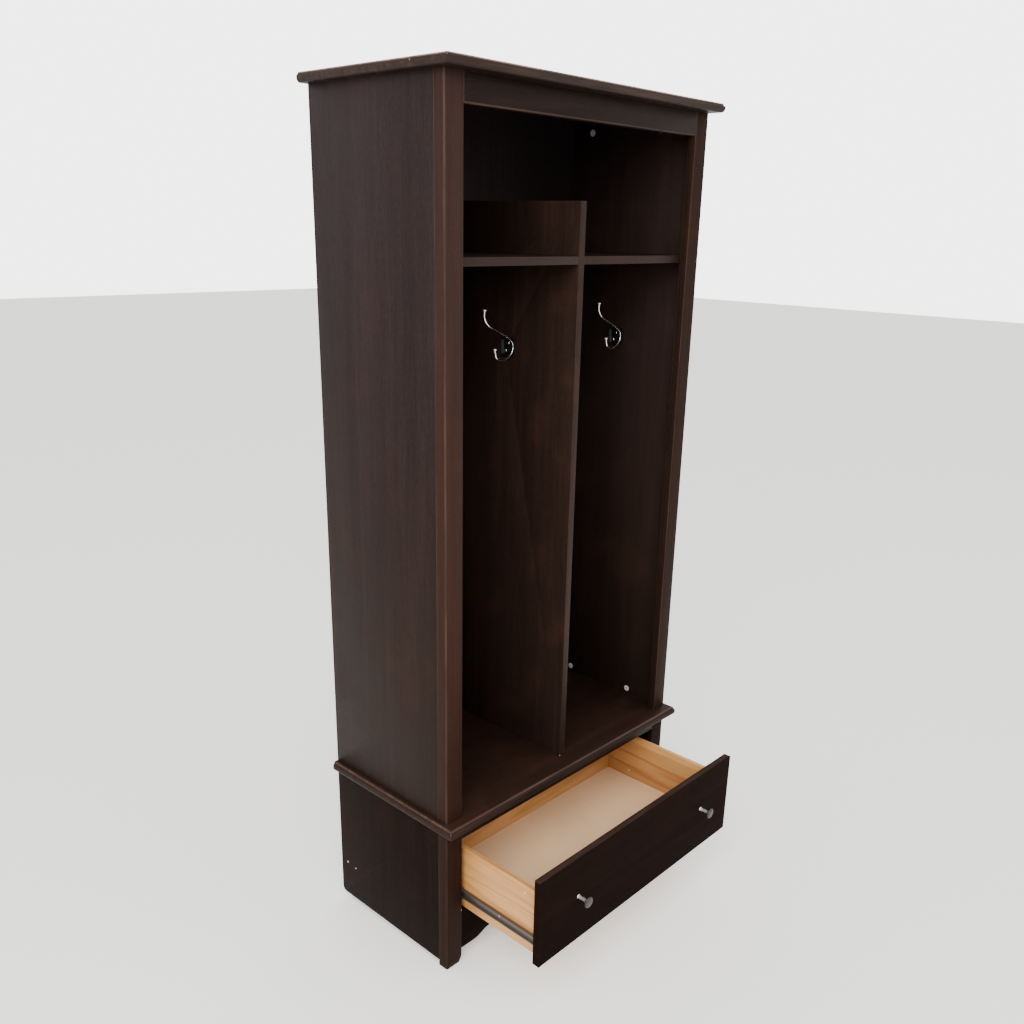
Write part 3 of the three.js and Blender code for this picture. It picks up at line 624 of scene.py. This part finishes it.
def moulded(node, name, profile):
    """A board whose front and ends are run with a moulding, mitred at the corners."""
    low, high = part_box(node)
    thickness = profile[-1][1] * MM
    piece = block(name, low, high)
    levels = [low.z + height / profile[-1][1] * (high.z - low.z) for _, height in profile]
    slice_at(piece, "z", levels[1:-1])
    near = thickness * 0.002
    for level, (inset, _) in zip(levels, profile):
        if not inset:
            continue
        at_level = lambda co: abs(co.z - level) < near
        for test, offset in (
            (lambda co: at_level(co) and abs(co.y - low.y) < near, (0, inset * MM, 0)),
            (lambda co: at_level(co) and abs(co.x - low.x) < near, (inset * MM, 0, 0)),
            (lambda co: at_level(co) and abs(co.x - high.x) < near, (-inset * MM, 0, 0)),
        ):
            pick(piece, "VERT", test)
            move(offset)
            object_mode()
    dress(piece, [None, None, None])
    rise = high.z - low.z
    # Edge faces in the moulding's lit bands take the lighter edge finish as painted highlight, and the top
    # arris takes the third finish, a brighter painted highlight line
    for polygon in piece.data.polygons:
        on_edge = abs(polygon.normal.z) < 0.985 and polygon.normal.y < 0.9
        share = (polygon.center.z - low.z) / rise
        wear_and_highlight = share > 0.84 or 0.18 < share < 0.60
        polygon.material_index = 2 if on_edge and share > 0.86 else int(on_edge and wear_and_highlight)
    return piece


class HALLTREE_OT_cap(Operator):
    """Moulded cap board on top of the case"""
    bl_idname = "hall_tree.cap"
    bl_label = "Cap"

    def execute(self, context):
        piece = moulded("cap_top", "moulded_cap", CAP_PROFILE)
        low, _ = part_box("cap_top")
        x, y, z = low.x + 2 * MM, low.y + 2 * MM, low.z
        chips = (((low.x + 1.2 * MM, low.y + 96 * MM, z + 13 * MM), 0.0010),
                 ((low.x + 1.2 * MM, low.y + 141 * MM, z + 12 * MM), 0.0009),
                 ((x, y, z + 15 * MM), 0.0009))
        # The top arris finish is 3.6 times the board's tone: a painted highlight line
        wooden(piece, "case", "cap_top", "x", chips, tone=0.8, arris_tone=0.65, painted_crest_highlight=3.6)
        return {"FINISHED"}


class HALLTREE_OT_slab(Operator):
    """Moulded slab that is the floor of the coat bays"""
    bl_idname = "hall_tree.slab"
    bl_label = "Slab"

    def execute(self, context):
        piece = moulded("base_slab", "moulded_slab", SLAB_PROFILE)
        low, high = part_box("base_slab")
        chips = (((low.x + 1.5 * MM, low.y + 1.5 * MM, high.z - 4 * MM), 0.0030),
                 ((low.x + 2 * MM, low.y + 60 * MM, high.z - 2 * MM), 0.0012))
        # The top arris finish is 1.3 times the board's tone: a painted highlight line
        wooden(piece, "case", "base_slab", "x", chips, tone=0.78, arris_tone=0.5, warmth=0.2, gleam=0.06,
               painted_crest_highlight=1.3)
        return {"FINISHED"}


# ---------------------------------------------------------------- posts, legs and panels
POST_THICKNESS = 19 * MM
POST_LIP = 9 * MM
FOOT_TAPER_HEIGHT = 13 * MM
FOOT_TAPER_WIDTH = 8.7 * MM
FOOT_BEND = 4 * MM
PANEL_GAP = 0.4 * MM
PANEL_STEP = 8 * MM
HEEL_RADIUS = 12 * MM


def post(node, name, foot=False):
    """Left post: a board with a lip behind it that laps the side panel, and a rounded outer edge."""
    low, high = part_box(node)
    joinery = settings().joinery
    piece = block(name, low, (high.x, low.y + POST_THICKNESS, high.z))
    slice_at(piece, "x", [low.x + POST_LIP])
    pick(piece, "FACE", lambda c, n: n.y > 0.9 and c.x < low.x + POST_LIP)
    bpy.ops.mesh.extrude_region_move(
        TRANSFORM_OT_translate={"value": (0, high.y - low.y - POST_THICKNESS, 0)})
    object_mode()
    if foot:
        shape_foot(piece, low, high)
    round_edges(piece, lambda co: co.x < low.x + CLOSE and co.y < low.y + CLOSE,
                joinery.round_over, joinery.rounds)
    ease(piece)
    # The middle faces of the outer round-over take the lighter edge finish: a painted highlight line down the
    # post's front edge
    for polygon in piece.data.polygons:
        if polygon.center.x < low.x + joinery.round_over and polygon.center.y < low.y + joinery.round_over:
            polygon.material_index = int(min(-polygon.normal.x, -polygon.normal.y) > 0.45)
    return piece


def shape_foot(piece, low, high):
    """Tapers the inner side of the foot and rounds where the taper starts."""
    turn = low.z + FOOT_TAPER_HEIGHT
    slice_at(piece, "z", [turn])
    pick(piece, "VERT", lambda co: co.x > high.x - CLOSE and co.z < low.z + CLOSE)
    move((-FOOT_TAPER_WIDTH, 0, 0))
    object_mode()
    round_edges(piece, lambda co: co.x > high.x - CLOSE and abs(co.z - turn) < CLOSE, FOOT_BEND, 4)


class HALLTREE_OT_posts(Operator):
    """Front posts of the case and of the base, and the legs behind them"""
    bl_idname = "hall_tree.posts"
    bl_label = "Posts and legs"

    def execute(self, context):
        for node, name, foot in (("upper_post", "tall_post", False), ("base_post", "foot_post", True)):
            left = post(f"{node}_left", f"{name}_left", foot)
            right = mirrored_copy(left, f"{name}_right")
            low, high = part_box(f"{node}_left")
            chips = ()
            if foot:
                chips = (((high.x, low.y + 0.5 * MM, 0.146), 0.0026),)
            far = ((-high.x - 2 * MM, low.y + 1 * MM, low.z + 3 * MM), 0.0024)
            tone = 0.62 if foot else 1.0
            # The edge tone below also sets the painted highlight line on the round-over; the tall left post
            # gets purple painted sheen high up and painted shade low down
            rub = 0.65 if foot else 0.75
            wooden(left, "case", f"{node}_left", "z", chips, tone=tone, warmth=0.32, arris_tone=rub,
                   gleam=0.03, painted_light=0.0 if foot else 0.35)
            wooden(right, "case", f"{node}_right", "z", () if foot else (far,), tone=tone * 0.9, warmth=0.1,
                   gleam=0.03)
        leg = block("back_leg_left", *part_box("rear_leg_left"))
        ease(leg)
        other = mirrored_copy(leg, "back_leg_right")
        wooden(leg, "case", "rear_leg_left", "z", tone=0.8)
        wooden(other, "case", "rear_leg_right", "z", tone=0.8)
        return {"FINISHED"}


def side_panel(node, name, heel=False):
    """Left side panel: its inner half reaches forward behind the post's lip."""
    low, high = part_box(node)
    tongue = low.x + POST_LIP - PANEL_GAP
    piece = block(name, (low.x, low.y + PANEL_STEP, low.z), high)
    slice_at(piece, "x", [tongue])
    pick(piece, "FACE", lambda c, n: n.y < -0.9 and c.x > tongue)
    bpy.ops.mesh.extrude_region_move(TRANSFORM_OT_translate={"value": (0, -PANEL_STEP, 0)})
    object_mode()
    if heel:
        round_edges(piece, lambda co: co.y > high.y - CLOSE and co.z < low.z + CLOSE, HEEL_RADIUS, 7)
    ease(piece, width=0.0006)
    return piece


class HALLTREE_OT_panels(Operator):
    """Side panels and back panels of the case and of the base"""
    bl_idname = "hall_tree.panels"
    bl_label = "Panels"

    def execute(self, context):
        low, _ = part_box("base_side_panel_left")
        scuffs = (((low.x, low.y + 347.7 * MM, 0.112), 0.0030), ((low.x, low.y + 315.8 * MM, 0.1085), 0.0022))
        left = side_panel("upper_side_panel_left", "tall_side_left")
        right = mirrored_copy(left, "tall_side_right")
        # The tall sides get purple painted sheen high up and painted shade low down
        wooden(left, "case", "upper_side_panel_left", "z", tone=0.95, gleam=0.06, painted_light=0.75)
        wooden(right, "case", "upper_side_panel_right", "z", tone=1.1, gleam=0.20, painted_light=0.3)
        left = side_panel("base_side_panel_left", "low_side_left", heel=True)
        right = mirrored_copy(left, "low_side_right")
        wooden(left, "case", "base_side_panel_left", "z", scuffs, tone=0.5, gleam=0.02)
        wooden(right, "case", "base_side_panel_right", "z", tone=0.8)
        for node, name in (("upper_back_panel", "tall_back"), ("base_back_panel", "low_back")):
            piece = block(name, *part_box(node))
            ease(piece, width=0.0005)
            # The back panels get purple painted sheen high up and painted shade low down
            wooden(piece, "case", node, "z", tone=0.8, gleam=0.08, painted_light=0.8)
        return {"FINISHED"}


# ---------------------------------------------------------------- rails, shelf and divider
RAIL_ROUND = 5 * MM


class HALLTREE_OT_rails(Operator):
    """Rail under the cap, rail under the slab, and the arched apron"""
    bl_idname = "hall_tree.rails"
    bl_label = "Rails"

    def execute(self, context):
        for node, name in (("top_front_rail", "rail_under_cap"), ("base_top_rail", "rail_under_slab")):
            low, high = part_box(node)
            piece = block(name, low, high)
            round_edges(piece, lambda co: co.y < low.y + CLOSE and co.z < low.z + CLOSE, RAIL_ROUND, 3)
            ease(piece)
            for polygon in piece.data.polygons:
                if polygon.normal.z < -0.3 and polygon.normal.y < -0.3:
                    polygon.material_index = 1
            wooden(piece, "case", node, "x", tone=0.62, arris_tone=1.15, gleam=0.06)
        apron = copy_of("apron_rail", "arched_apron")
        ease(apron, width=0.0008)
        # Tone 0.28 darkens the apron almost to black: painted shade
        wooden(apron, "case", "apron_rail", "x", tone=0.28, gleam=0.01)
        return {"FINISHED"}


class HALLTREE_OT_interior(Operator):
    """Shelf and divider, halved into each other"""
    bl_idname = "hall_tree.interior"
    bl_label = "Shelf and divider"

    def execute(self, context):
        shelf = copy_of("shelf", "hat_shelf")
        ease(shelf, width=0.0007)
        wooden(shelf, "case", "shelf", "x", tone=0.68, arris_tone=0.8, warmth=0.2, gleam=0.12)
        low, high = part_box("divider_panel")
        specks = (((low.x + 1 * MM, low.y, low.z + 3 * MM), 0.0015),
                  ((high.x, low.y + 1 * MM, low.z + 9 * MM), 0.0014))
        divider = copy_of("divider_panel", "bay_divider")
        ease(divider, width=0.0007)
        # Tone 1.3 makes the divider lighter than the other boards: painted light in the shaded bays
        wooden(divider, "case", "divider_panel", "z", specks, tone=1.3, arris_tone=0.6, gleam=0.07)
        return {"FINISHED"}


class HALLTREE_OT_small_plastics(Operator):
    """Cover caps over the screws and glides under the feet"""
    bl_idname = "hall_tree.small_plastics"
    bl_label = "Covers and glides"

    def execute(self, context):
        grey = moulded_plastic("cover_cap_grey", (0.42, 0.42, 0.41), 0.38)
        beige = moulded_plastic("glide_beige", (0.46, 0.36, 0.26), 0.5, speckle=0.5)
        self.covers(grey)
        self.glides(beige)
        return {"FINISHED"}

    @staticmethod
    def covers(grey):
        low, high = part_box("screw_cover_1_left")
        middle = (low + high) / 2
        profile = [(7.0, -3.4), (7.0, 0.0), (8.0, 0.05), (8.2, 0.25), (8.1, 0.7), (7.5, 1.05),
                   (5.5, 1.28), (3.6, 1.36), (3.2, 1.05), (0.4, 1.0)]
        at = (low.x + 3.5 * MM, middle.y, middle.z)
        first = turned("cover_cap_1_left", in_metres(profile), (1, 0, 0), at, sides=36)
        smooth(first, 40)
        caps = {"1_left": first}
        for i in (2, 3, 4):
            offset = middle_of(f"screw_cover_{i}_left") - middle
            caps[f"{i}_left"] = another(first, f"cover_cap_{i}_left", offset)
        for i in (1, 2, 3, 4):
            caps[f"{i}_right"] = mirrored_copy(caps[f"{i}_left"], f"cover_cap_{i}_right")
        for name, cap in caps.items():
            done(cap, "case", [grey], [f"screw_cover_{name}"])

    @staticmethod
    def glides(beige):
        low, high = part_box("foot_glide_front_left")
        middle = (low + high) / 2
        r = (high.x - low.x) / 2
        h = high.z
        profile = [(0.80 * r, 0), (0.90 * r, 0.08 * h), (0.97 * r, 0.2 * h), (r, 0.34 * h), (r, h)]
        first = turned("glide_front_left", profile, (0, 0, 1), (middle.x, middle.y, 0), sides=36)
        smooth(first, 40)
        glides = {"front_left": first}
        for place in ("front_right", "rear_left", "rear_right"):
            offset = middle_of(f"foot_glide_{place}") - middle
            glides[place] = another(first, f"glide_{place}", (offset.x, offset.y, 0))
        for place, glide in glides.items():
            done(glide, "case", [beige], [f"foot_glide_{place}"])


# ---------------------------------------------------------------- hooks
HOOK_WIRE = (
    (96, 86), (95.5, 68), (80, 51), (49, 37), (18.5, 22), (4.7, 8.5),
    (6.3, -8.5), (18.5, -20.5), (38, -26.5), (57, -19), (62.5, -0.5),
)
HOOK_TOP = 88.8 * MM  # from the wire's zero height up to the top of the hook's box
PLATE_THICKNESS = 2.5 * MM
PLATE_HALF_HEIGHT = 20 * MM
PLATE_BEFORE_WIRE = 7 * MM
PLATE_BEHIND_WIRE = 35 * MM
PLATE_CORNER = 9 * MM
PLATE_BORDER = 0.8 * MM
PLATE_RISE = 0.5 * MM
HOOK_SCREW_HEAD = 1.8 * MM


def flowing(points, steps=7):
    """A smooth line through points, each stretch bent to suit its neighbours."""
    line = []
    last = len(points) - 1
    for i in range(last):
        a = points[max(i - 1, 0)]
        b, c = points[i], points[i + 1]
        d = points[min(i + 2, last)]
        for step in range(steps):
            t = step / steps
            line.append(b + (c - a) * 0.5 * t + (2 * a - 5 * b + 4 * c - d) * 0.5 * t * t
                        + (3 * b - a - 3 * c + d) * 0.5 * t * t * t)
    line.append(points[last])
    return line


def bent_wire(name, line, radius):
    """A round wire along a line, made as a curve with thickness and turned into a mesh."""
    deselect()
    bpy.ops.curve.primitive_nurbs_path_add()
    piece = bpy.context.object
    data = piece.data
    data.splines.clear()
    spline = data.splines.new("POLY")
    spline.points.add(len(line) - 1)
    for point, place in zip(spline.points, line):
        point.co = (*place, 1)
    data.dimensions = "3D"
    data.bevel_depth = radius
    data.bevel_resolution = 6
    data.use_fill_caps = True
    activate(piece)
    bpy.ops.object.convert(target="MESH")
    piece = named(name)
    edit_all(piece)
    bpy.ops.mesh.remove_doubles(threshold=1e-6)
    bpy.ops.mesh.normals_make_consistent(inside=False)
    object_mode()
    return piece


def button(name, at, towards):
    """The small flat button that ends a prong."""
    profile = [(3.0, -2.2), (4.0, -1.9), (4.7, -1.0), (4.9, 0.2), (4.6, 1.3), (3.7, 2.1), (2.2, 2.45),
               (0.4, 2.5)]
    return turned(name, in_metres(profile), towards, at, sides=28)


class HALLTREE_OT_hooks(Operator):
    """Two-prong wire hooks on their plates, with their screws"""
    bl_idname = "hall_tree.hooks"
    bl_label = "Hooks"

    def execute(self, context):
        chrome = metal("hook_chrome", settings().metal.chrome, 0.07, wear=0.25)
        dark = moulded_plastic("hook_plate_dark", settings().metal.plate, 0.5)
        tip = metal("hook_tip", settings().metal.tip, 0.34, wear=0.1)
        left = self.hook(chrome, dark, tip)
        right = another(left, "coat_hook_right", middle_of("hook_right") - middle_of("hook_left"))
        done(left, "case", [chrome, tip, dark], ["hook_left"])
        done(right, "case", [chrome, tip, dark], ["hook_right"])
        self.screws(chrome)
        return {"FINISHED"}

    def hook(self, chrome, dark, tip):
        low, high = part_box("hook_left")
        board, y = high.x, low.y + PLATE_BEFORE_WIRE
        zero = high.z - HOOK_TOP
        line = flowing([Vector((board - out * MM, y, zero + z * MM)) for out, z in HOOK_WIRE])
        wire = bent_wire("hook_wire", line, settings().metal.wire_radius)
        upper = button("upper_button", line[0], line[0] - line[4])
        lower = button("lower_button", line[-1], line[-1] - line[-5])
        plate = self.plate(board, y, zero)
        for part, finish in ((wire, chrome), (upper, tip), (lower, tip), (plate, dark)):
            dress(part, [finish])
        piece = joined("coat_hook_left", [wire, upper, lower, plate])
        smooth(piece, 40)
        return piece

    @staticmethod
    def plate(board, y, zero):
        piece = block("plate", (board - PLATE_THICKNESS, y - PLATE_BEFORE_WIRE, zero - PLATE_HALF_HEIGHT),
                      (board, y + PLATE_BEHIND_WIRE, zero + PLATE_HALF_HEIGHT))
        pick(piece, "EDGE", lambda a, b: abs(a.x - b.x) > MM)
        bpy.ops.mesh.bevel(offset=PLATE_CORNER, segments=7, affect="EDGES")
        object_mode()
        pick(piece, "FACE", lambda c, n: n.x < -0.9)
        bpy.ops.mesh.inset(thickness=PLATE_BORDER)
        move((-PLATE_RISE, 0, 0))
        object_mode()
        return piece

    @staticmethod
    def screws(chrome):
        low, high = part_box("hook_left_screw_1")
        middle = (low + high) / 2
        profile = [(1.7, -16.0), (1.7, 0), (4.0, 0), (4.0, 0.3), (3.7, 0.9), (2.9, 1.45), (1.6, 1.75),
                   (0.3, 1.8)]
        at = (low.x + HOOK_SCREW_HEAD, middle.y, middle.z)
        first = turned("hook_left_fixing_1", in_metres(profile), (-1, 0, 0), at, sides=28)
        smooth(first, 40)
        screws = {"left_screw_1": first}
        for name in ("left_screw_2", "right_screw_1", "right_screw_2"):
            offset = middle_of(f"hook_{name}") - middle
            screws[name] = another(first, f"hook_{name.replace('screw', 'fixing')}", offset)
        for name, screw in screws.items():
            done(screw, "case", [chrome], [f"hook_{name}"])


# ---------------------------------------------------------------- drawer
LIGHT_STRIP = 16 * MM  # height of the paler strip along the top of the right side
EDGE_TINT = (1.12, 1.22, 1.40)
OUTER_PLUG = (42 * MM, 0.285)  # from the front of the side, and above the floor
INNER_PLUG = (275.7 * MM, 0.1945)
KNOB_DISC = 6 * MM
SLIDE_WALL = 1.4 * MM
RUNNER_SCREW = 112 * MM
RUNNER_SCREW_SPACING = 140 * MM


class HALLTREE_OT_drawer_front(Operator):
    """Drawer front with its rounded face"""
    bl_idname = "hall_tree.drawer_front"
    bl_label = "Drawer front"

    def execute(self, context):
        joinery = settings().joinery
        low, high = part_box("drawer_front")
        piece = block("rounded_drawer_front", low, high)
        pick(piece, "EDGE", lambda a, b: abs(a.y - b.y) > MM)
        bpy.ops.mesh.bevel(offset=joinery.front_corner, segments=joinery.rounds, affect="EDGES")
        object_mode()
        front = lambda co: co.y < low.y + MM * 0.1
        pick(piece, "EDGE", lambda a, b: front(a) and front(b))
        bpy.ops.mesh.bevel(offset=joinery.front_round, segments=joinery.rounds, affect="EDGES", material=1)
        object_mode()
        ease(piece, width=0.0010, angle=40)
        # Upward-facing faces take the lighter edge finish: a painted highlight along the top of the drawer
        # front
        for polygon in piece.data.polygons:
            if polygon.normal.z > 0.3:
                polygon.material_index = 1
        wooden(piece, "drawer", "drawer_front", "x", (), tone=0.38, warmth=0.1, arris_tone=1.7, gleam=0.004)
        return {"FINISHED"}


class HALLTREE_OT_drawer_box(Operator):
    """Pale drawer box, its floor and its plugs"""
    bl_idname = "hall_tree.drawer_box"
    bl_label = "Drawer box"

    def execute(self, context):
        _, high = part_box("drawer_side_right")
        boards = (
            ("drawer_side_left", "y", (0.88, 0.63, 0.34), 0.8, None, 1.0),
            ("drawer_side_right", "y", (0.84, 0.62, 0.37), 1.5, high.z - LIGHT_STRIP, 5.2),
            ("drawer_box_front", "x", (0.98, 0.95, 0.90), 0.6, None, 9.1),
            ("drawer_box_back", "x", (0.86, 0.66, 0.42), 1.0, None, 12.4),
        )
        for node, grain, tone, figure, strip, seed in boards:
            piece = copy_of(node, node.replace("drawer_", "pale_"))
            ease(piece, width=0.0009)
            smooth(piece)
            face = pale_wood(grain, tone, figure, strip, seed)
            edge_tone = tuple(c * k for c, k in zip(tone, EDGE_TINT))
            edge = pale_wood(grain, edge_tone, figure * 0.5, None, seed)
            done(piece, "drawer", [face, edge], [node])
        panel = block("drawer_floor", *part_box("drawer_bottom"))
        ease(panel, width=0.0004)
        sheet = floor_panel()
        done(panel, "drawer", [sheet, sheet], ["drawer_bottom"])
        self.plugs()
        return {"FINISHED"}

    @staticmethod
    def plugs():
        """Small wooden plugs in the sides of the drawer box."""
        plug_wood = pale_wood("y", (1.15, 0.98, 0.80), 0.2, None, 20.0)
        low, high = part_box("drawer_side_left")
        profile = in_metres([(3.4, -2.0), (3.4, 0.2), (3.0, 0.5), (0.4, 0.55)])
        plugs = []
        places = ("outer", -1, low.x, OUTER_PLUG), ("inner", 1, high.x, INNER_PLUG)
        for name, facing, x, (back, z) in places:
            at = (x, low.y + back, z)
            plugs.append(turned(f"plug_{name}_left", profile, (facing, 0, 0), at, sides=24))
        for plug in plugs:
            smooth(plug, 40)
        plugs += [mirrored_copy(plug, plug.name.replace("left", "right")) for plug in plugs]
        for plug in plugs:
            done(plug, "drawer", [plug_wood])


class HALLTREE_OT_knobs(Operator):
    """Disc knobs on slim stems, and the screws that hold them"""
    bl_idname = "hall_tree.knobs"
    bl_label = "Knobs"

    def execute(self, context):
        nickel = metal("knob_nickel", settings().metal.nickel, 0.38, wear=0.1)
        disc = metal("knob_disc", settings().metal.disc, 0.30, wear=0.3)
        steel = metal("screw_steel", settings().metal.steel, 0.35)
        profile = [(4.9, 0), (5.0, 0.4), (4.9, 0.8), (4.5, 1.2), (4.2, 1.8), (4.0, 3.2), (3.9, 5.0),
                   (3.8, 7.0), (3.8, 20.6), (4.2, 22.6), (5.0, 24.4), (6.4, 25.6), (9.0, 26.2), (11.3, 26.4),
                   (12.3, 26.8), (12.75, 27.5), (12.85, 28.3), (12.75, 29.2), (12.3, 30.1), (11.3, 30.8),
                   (9.6, 31.25), (6.0, 31.6), (0.5, 31.7)]
        low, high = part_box("knob_left")
        middle = (low + high) / 2
        at = (middle.x, high.y, middle.z)
        left = turned("disc_knob_left", in_metres(profile), (0, -1, 0), at, sides=64)
        smooth(left, 35)
        dress(left, [nickel, disc])
        # The knob's outer face takes the darker copy of the plating: painted shade
        for polygon in left.data.polygons:
            polygon.material_index = int(polygon.center.y < low.y + KNOB_DISC)
        right = another(left, "disc_knob_right", middle_of("knob_right") - middle)
        for side, knob in (("left", left), ("right", right)):
            done(knob, "drawer", [nickel, disc], [f"knob_{side}"])
            screw = copy_of(f"knob_screw_{side}", f"knob_bolt_{side}")
            ease(screw, width=0.0002)
            smooth(screw)
            done(screw, "drawer", [steel, steel], [f"knob_screw_{side}"])
        return {"FINISHED"}


class HALLTREE_OT_slides(Operator):
    """Two-member drawer slides with their ball cages, screws and packing strips"""
    bl_idname = "hall_tree.slides"
    bl_label = "Slides"

    def execute(self, context):
        steel = metal("slide_steel", settings().metal.steel, 0.46, brushed="y", wear=0.35)
        for side in ("left", "right"):
            for part, body in (("cabinet_member", "case"), ("drawer_member", "drawer"),
                               ("ball_cage", f"cage_{side}")):
                node = f"slide_{part}_{side}"
                piece = copy_of(node, f"runner_{part}_{side}")
                ease(piece, width=0.0003)
                smooth(piece)
                done(piece, body, [steel, steel], [node])
        self.screws()
        left = block("packing_strip_left", *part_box("slide_packer_left"))
        ease(left, width=0.0008)
        smooth(left)
        wood = pale_wood("y", (0.9, 0.9, 0.9), 0.6, None, 14.0)
        right = mirrored_copy(left, "packing_strip_right")
        done(left, "case", [wood, wood], ["slide_packer_left"])
        done(right, "case", [wood, wood], ["slide_packer_right"])
        return {"FINISHED"}

    @staticmethod
    def screws():
        bright = metal("slide_screw", (0.75, 0.74, 0.72), 0.3)
        low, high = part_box("slide_drawer_member_left")
        profile = in_metres([(2.9, 0), (3.0, 0.3), (2.7, 0.9), (1.8, 1.3), (0.3, 1.4)])
        at = (high.x - SLIDE_WALL, low.y + RUNNER_SCREW, (low.z + high.z) / 2)
        first = turned("runner_screw_left_1", profile, (-1, 0, 0), at, sides=24)
        smooth(first, 40)
        screws = [first, another(first, "runner_screw_left_2", (0, RUNNER_SCREW_SPACING, 0))]
        for i in (1, 2):
            screws.append(mirrored_copy(screws[i - 1], f"runner_screw_right_{i}"))
        for screw in screws:
            done(screw, "drawer", [bright])


# ---------------------------------------------------------------- stage
CAMERA_PLACE = (-1.64219, -1.41095, 1.63796)
CAMERA_TURN = (47.4367, 18.9037, -1.4038)  # to the right, downwards and sideways, in degrees
LAMPS_AIM = Vector((0, 0.1, 0.8))


class HALLTREE_OT_stage(Operator):
    """Plain floor, soft studio light and the camera"""
    bl_idname = "hall_tree.stage"
    bl_label = "Stage"

    def execute(self, context):
        self.camera()
        self.floor()
        self.lights()
        return {"FINISHED"}

    @staticmethod
    def camera():
        yaw, pitch, roll = (radians(angle) for angle in CAMERA_TURN)
        forward = Vector((sin(yaw) * cos(pitch), cos(yaw) * cos(pitch), -sin(pitch)))
        right = Vector((cos(yaw), -sin(yaw), 0))
        down = forward.cross(right)
        across = cos(roll) * right + sin(roll) * down
        below = cos(roll) * down - sin(roll) * right
        data = bpy.data.cameras.new("view")
        data.lens = 34.247
        data.sensor_width = 36
        data.shift_x = -0.0130
        data.shift_y = 0.0460
        data.clip_end = 50
        data.dof.use_dof = False
        eye = bpy.data.objects.new("view", data)
        bpy.context.scene.collection.objects.link(eye)
        turn = Matrix((across, -below, -forward)).transposed().to_4x4()
        eye.matrix_world = Matrix.Translation(CAMERA_PLACE) @ turn
        bpy.context.scene.camera = eye

    @staticmethod
    def floor():
        deselect()
        bpy.ops.mesh.primitive_plane_add(size=40)
        floor = named("studio_floor")
        stone = Finish("studio_floor")
        shade = opaque(settings().stage.floor)
        stone.finish({"Base Color": shade, "Roughness": 0.55, "Emission Color": shade,
                      "Emission Strength": 0.45})
        floor.data.materials.append(stone.material)

    @staticmethod
    def lights():
        stage = settings().stage
        world = bpy.data.worlds.new("studio")
        bpy.context.scene.world = world
        world.use_nodes = True
        nodes, links = world.node_tree.nodes, world.node_tree.links
        glow = nodes["Background"]
        seen = nodes.new("ShaderNodeBackground")
        for node, strength in ((glow, stage.sky_strength), (seen, stage.wall_strength)):
            node.inputs["Color"].default_value = opaque(stage.sky)
            node.inputs["Strength"].default_value = strength
        choice = nodes.new("ShaderNodeMixShader")
        links.new(nodes.new("ShaderNodeLightPath").outputs["Is Camera Ray"], choice.inputs[0])
        links.new(glow.outputs[0], choice.inputs[1])
        links.new(seen.outputs[0], choice.inputs[2])
        links.new(choice.outputs[0], nodes["World Output"].inputs["Surface"])
        lamps = (
            ("key", stage.key_power, 2.6, (-2.6, -1.6, 2.9), (1.0, 0.985, 0.96)),
            ("fill", stage.fill_power, 3.0, (1.2, -3.4, 2.4), (1.0, 0.99, 0.98)),
        )
        for name, power, size, at, shade in lamps:
            data = bpy.data.lights.new(name, "AREA")
            data.energy = power
            data.size = size
            data.color = shade
            lamp = bpy.data.objects.new(name, data)
            bpy.context.scene.collection.objects.link(lamp)
            aim = LAMPS_AIM - Vector(at)
            lamp.rotation_euler = aim.to_track_quat("-Z", "Y").to_euler()
            lamp.location = at


# ---------------------------------------------------------------- sidebar and start
OPERATORS = (
    HALLTREE_OT_stage, HALLTREE_OT_cap, HALLTREE_OT_slab, HALLTREE_OT_posts, HALLTREE_OT_panels,
    HALLTREE_OT_rails, HALLTREE_OT_interior, HALLTREE_OT_small_plastics, HALLTREE_OT_hooks,
    HALLTREE_OT_drawer_front, HALLTREE_OT_drawer_box, HALLTREE_OT_knobs, HALLTREE_OT_slides,
)


class HALLTREE_PT_sidebar(Panel):
    """Lists the hall tree's pieces and settings"""
    bl_idname = "HALLTREE_PT_sidebar"
    bl_label = "Hall Tree"
    bl_space_type = "VIEW_3D"
    bl_region_type = "UI"
    bl_category = "Hall Tree"

    def draw(self, context):
        values = context.scene.hall_tree
        for group in (values.stain, values.pale, values.joinery, values.metal, values.stage):
            box = self.layout.box()
            for key in group.bl_rna.properties.keys():
                if key not in ("rna_type", "name"):
                    box.prop(group, key)
        for operator in OPERATORS:
            self.layout.operator(operator.bl_idname)


CLASSES = (StainSettings, PaleWoodSettings, JoinerySettings, MetalSettings, StageSettings,
           HallTreeSettings, *OPERATORS, HALLTREE_PT_sidebar)


def register():
    for item in CLASSES:
        bpy.utils.register_class(item)
    bpy.types.Scene.hall_tree = PointerProperty(type=HallTreeSettings)


def unregister():
    del bpy.types.Scene.hall_tree
    for item in reversed(CLASSES):
        bpy.utils.unregister_class(item)


def main():
    register()
    for operator in OPERATORS:
        group, name = operator.bl_idname.split(".")
        getattr(getattr(bpy.ops, group), name)()
    object_mode()


if __name__ == "__main__":
    main()
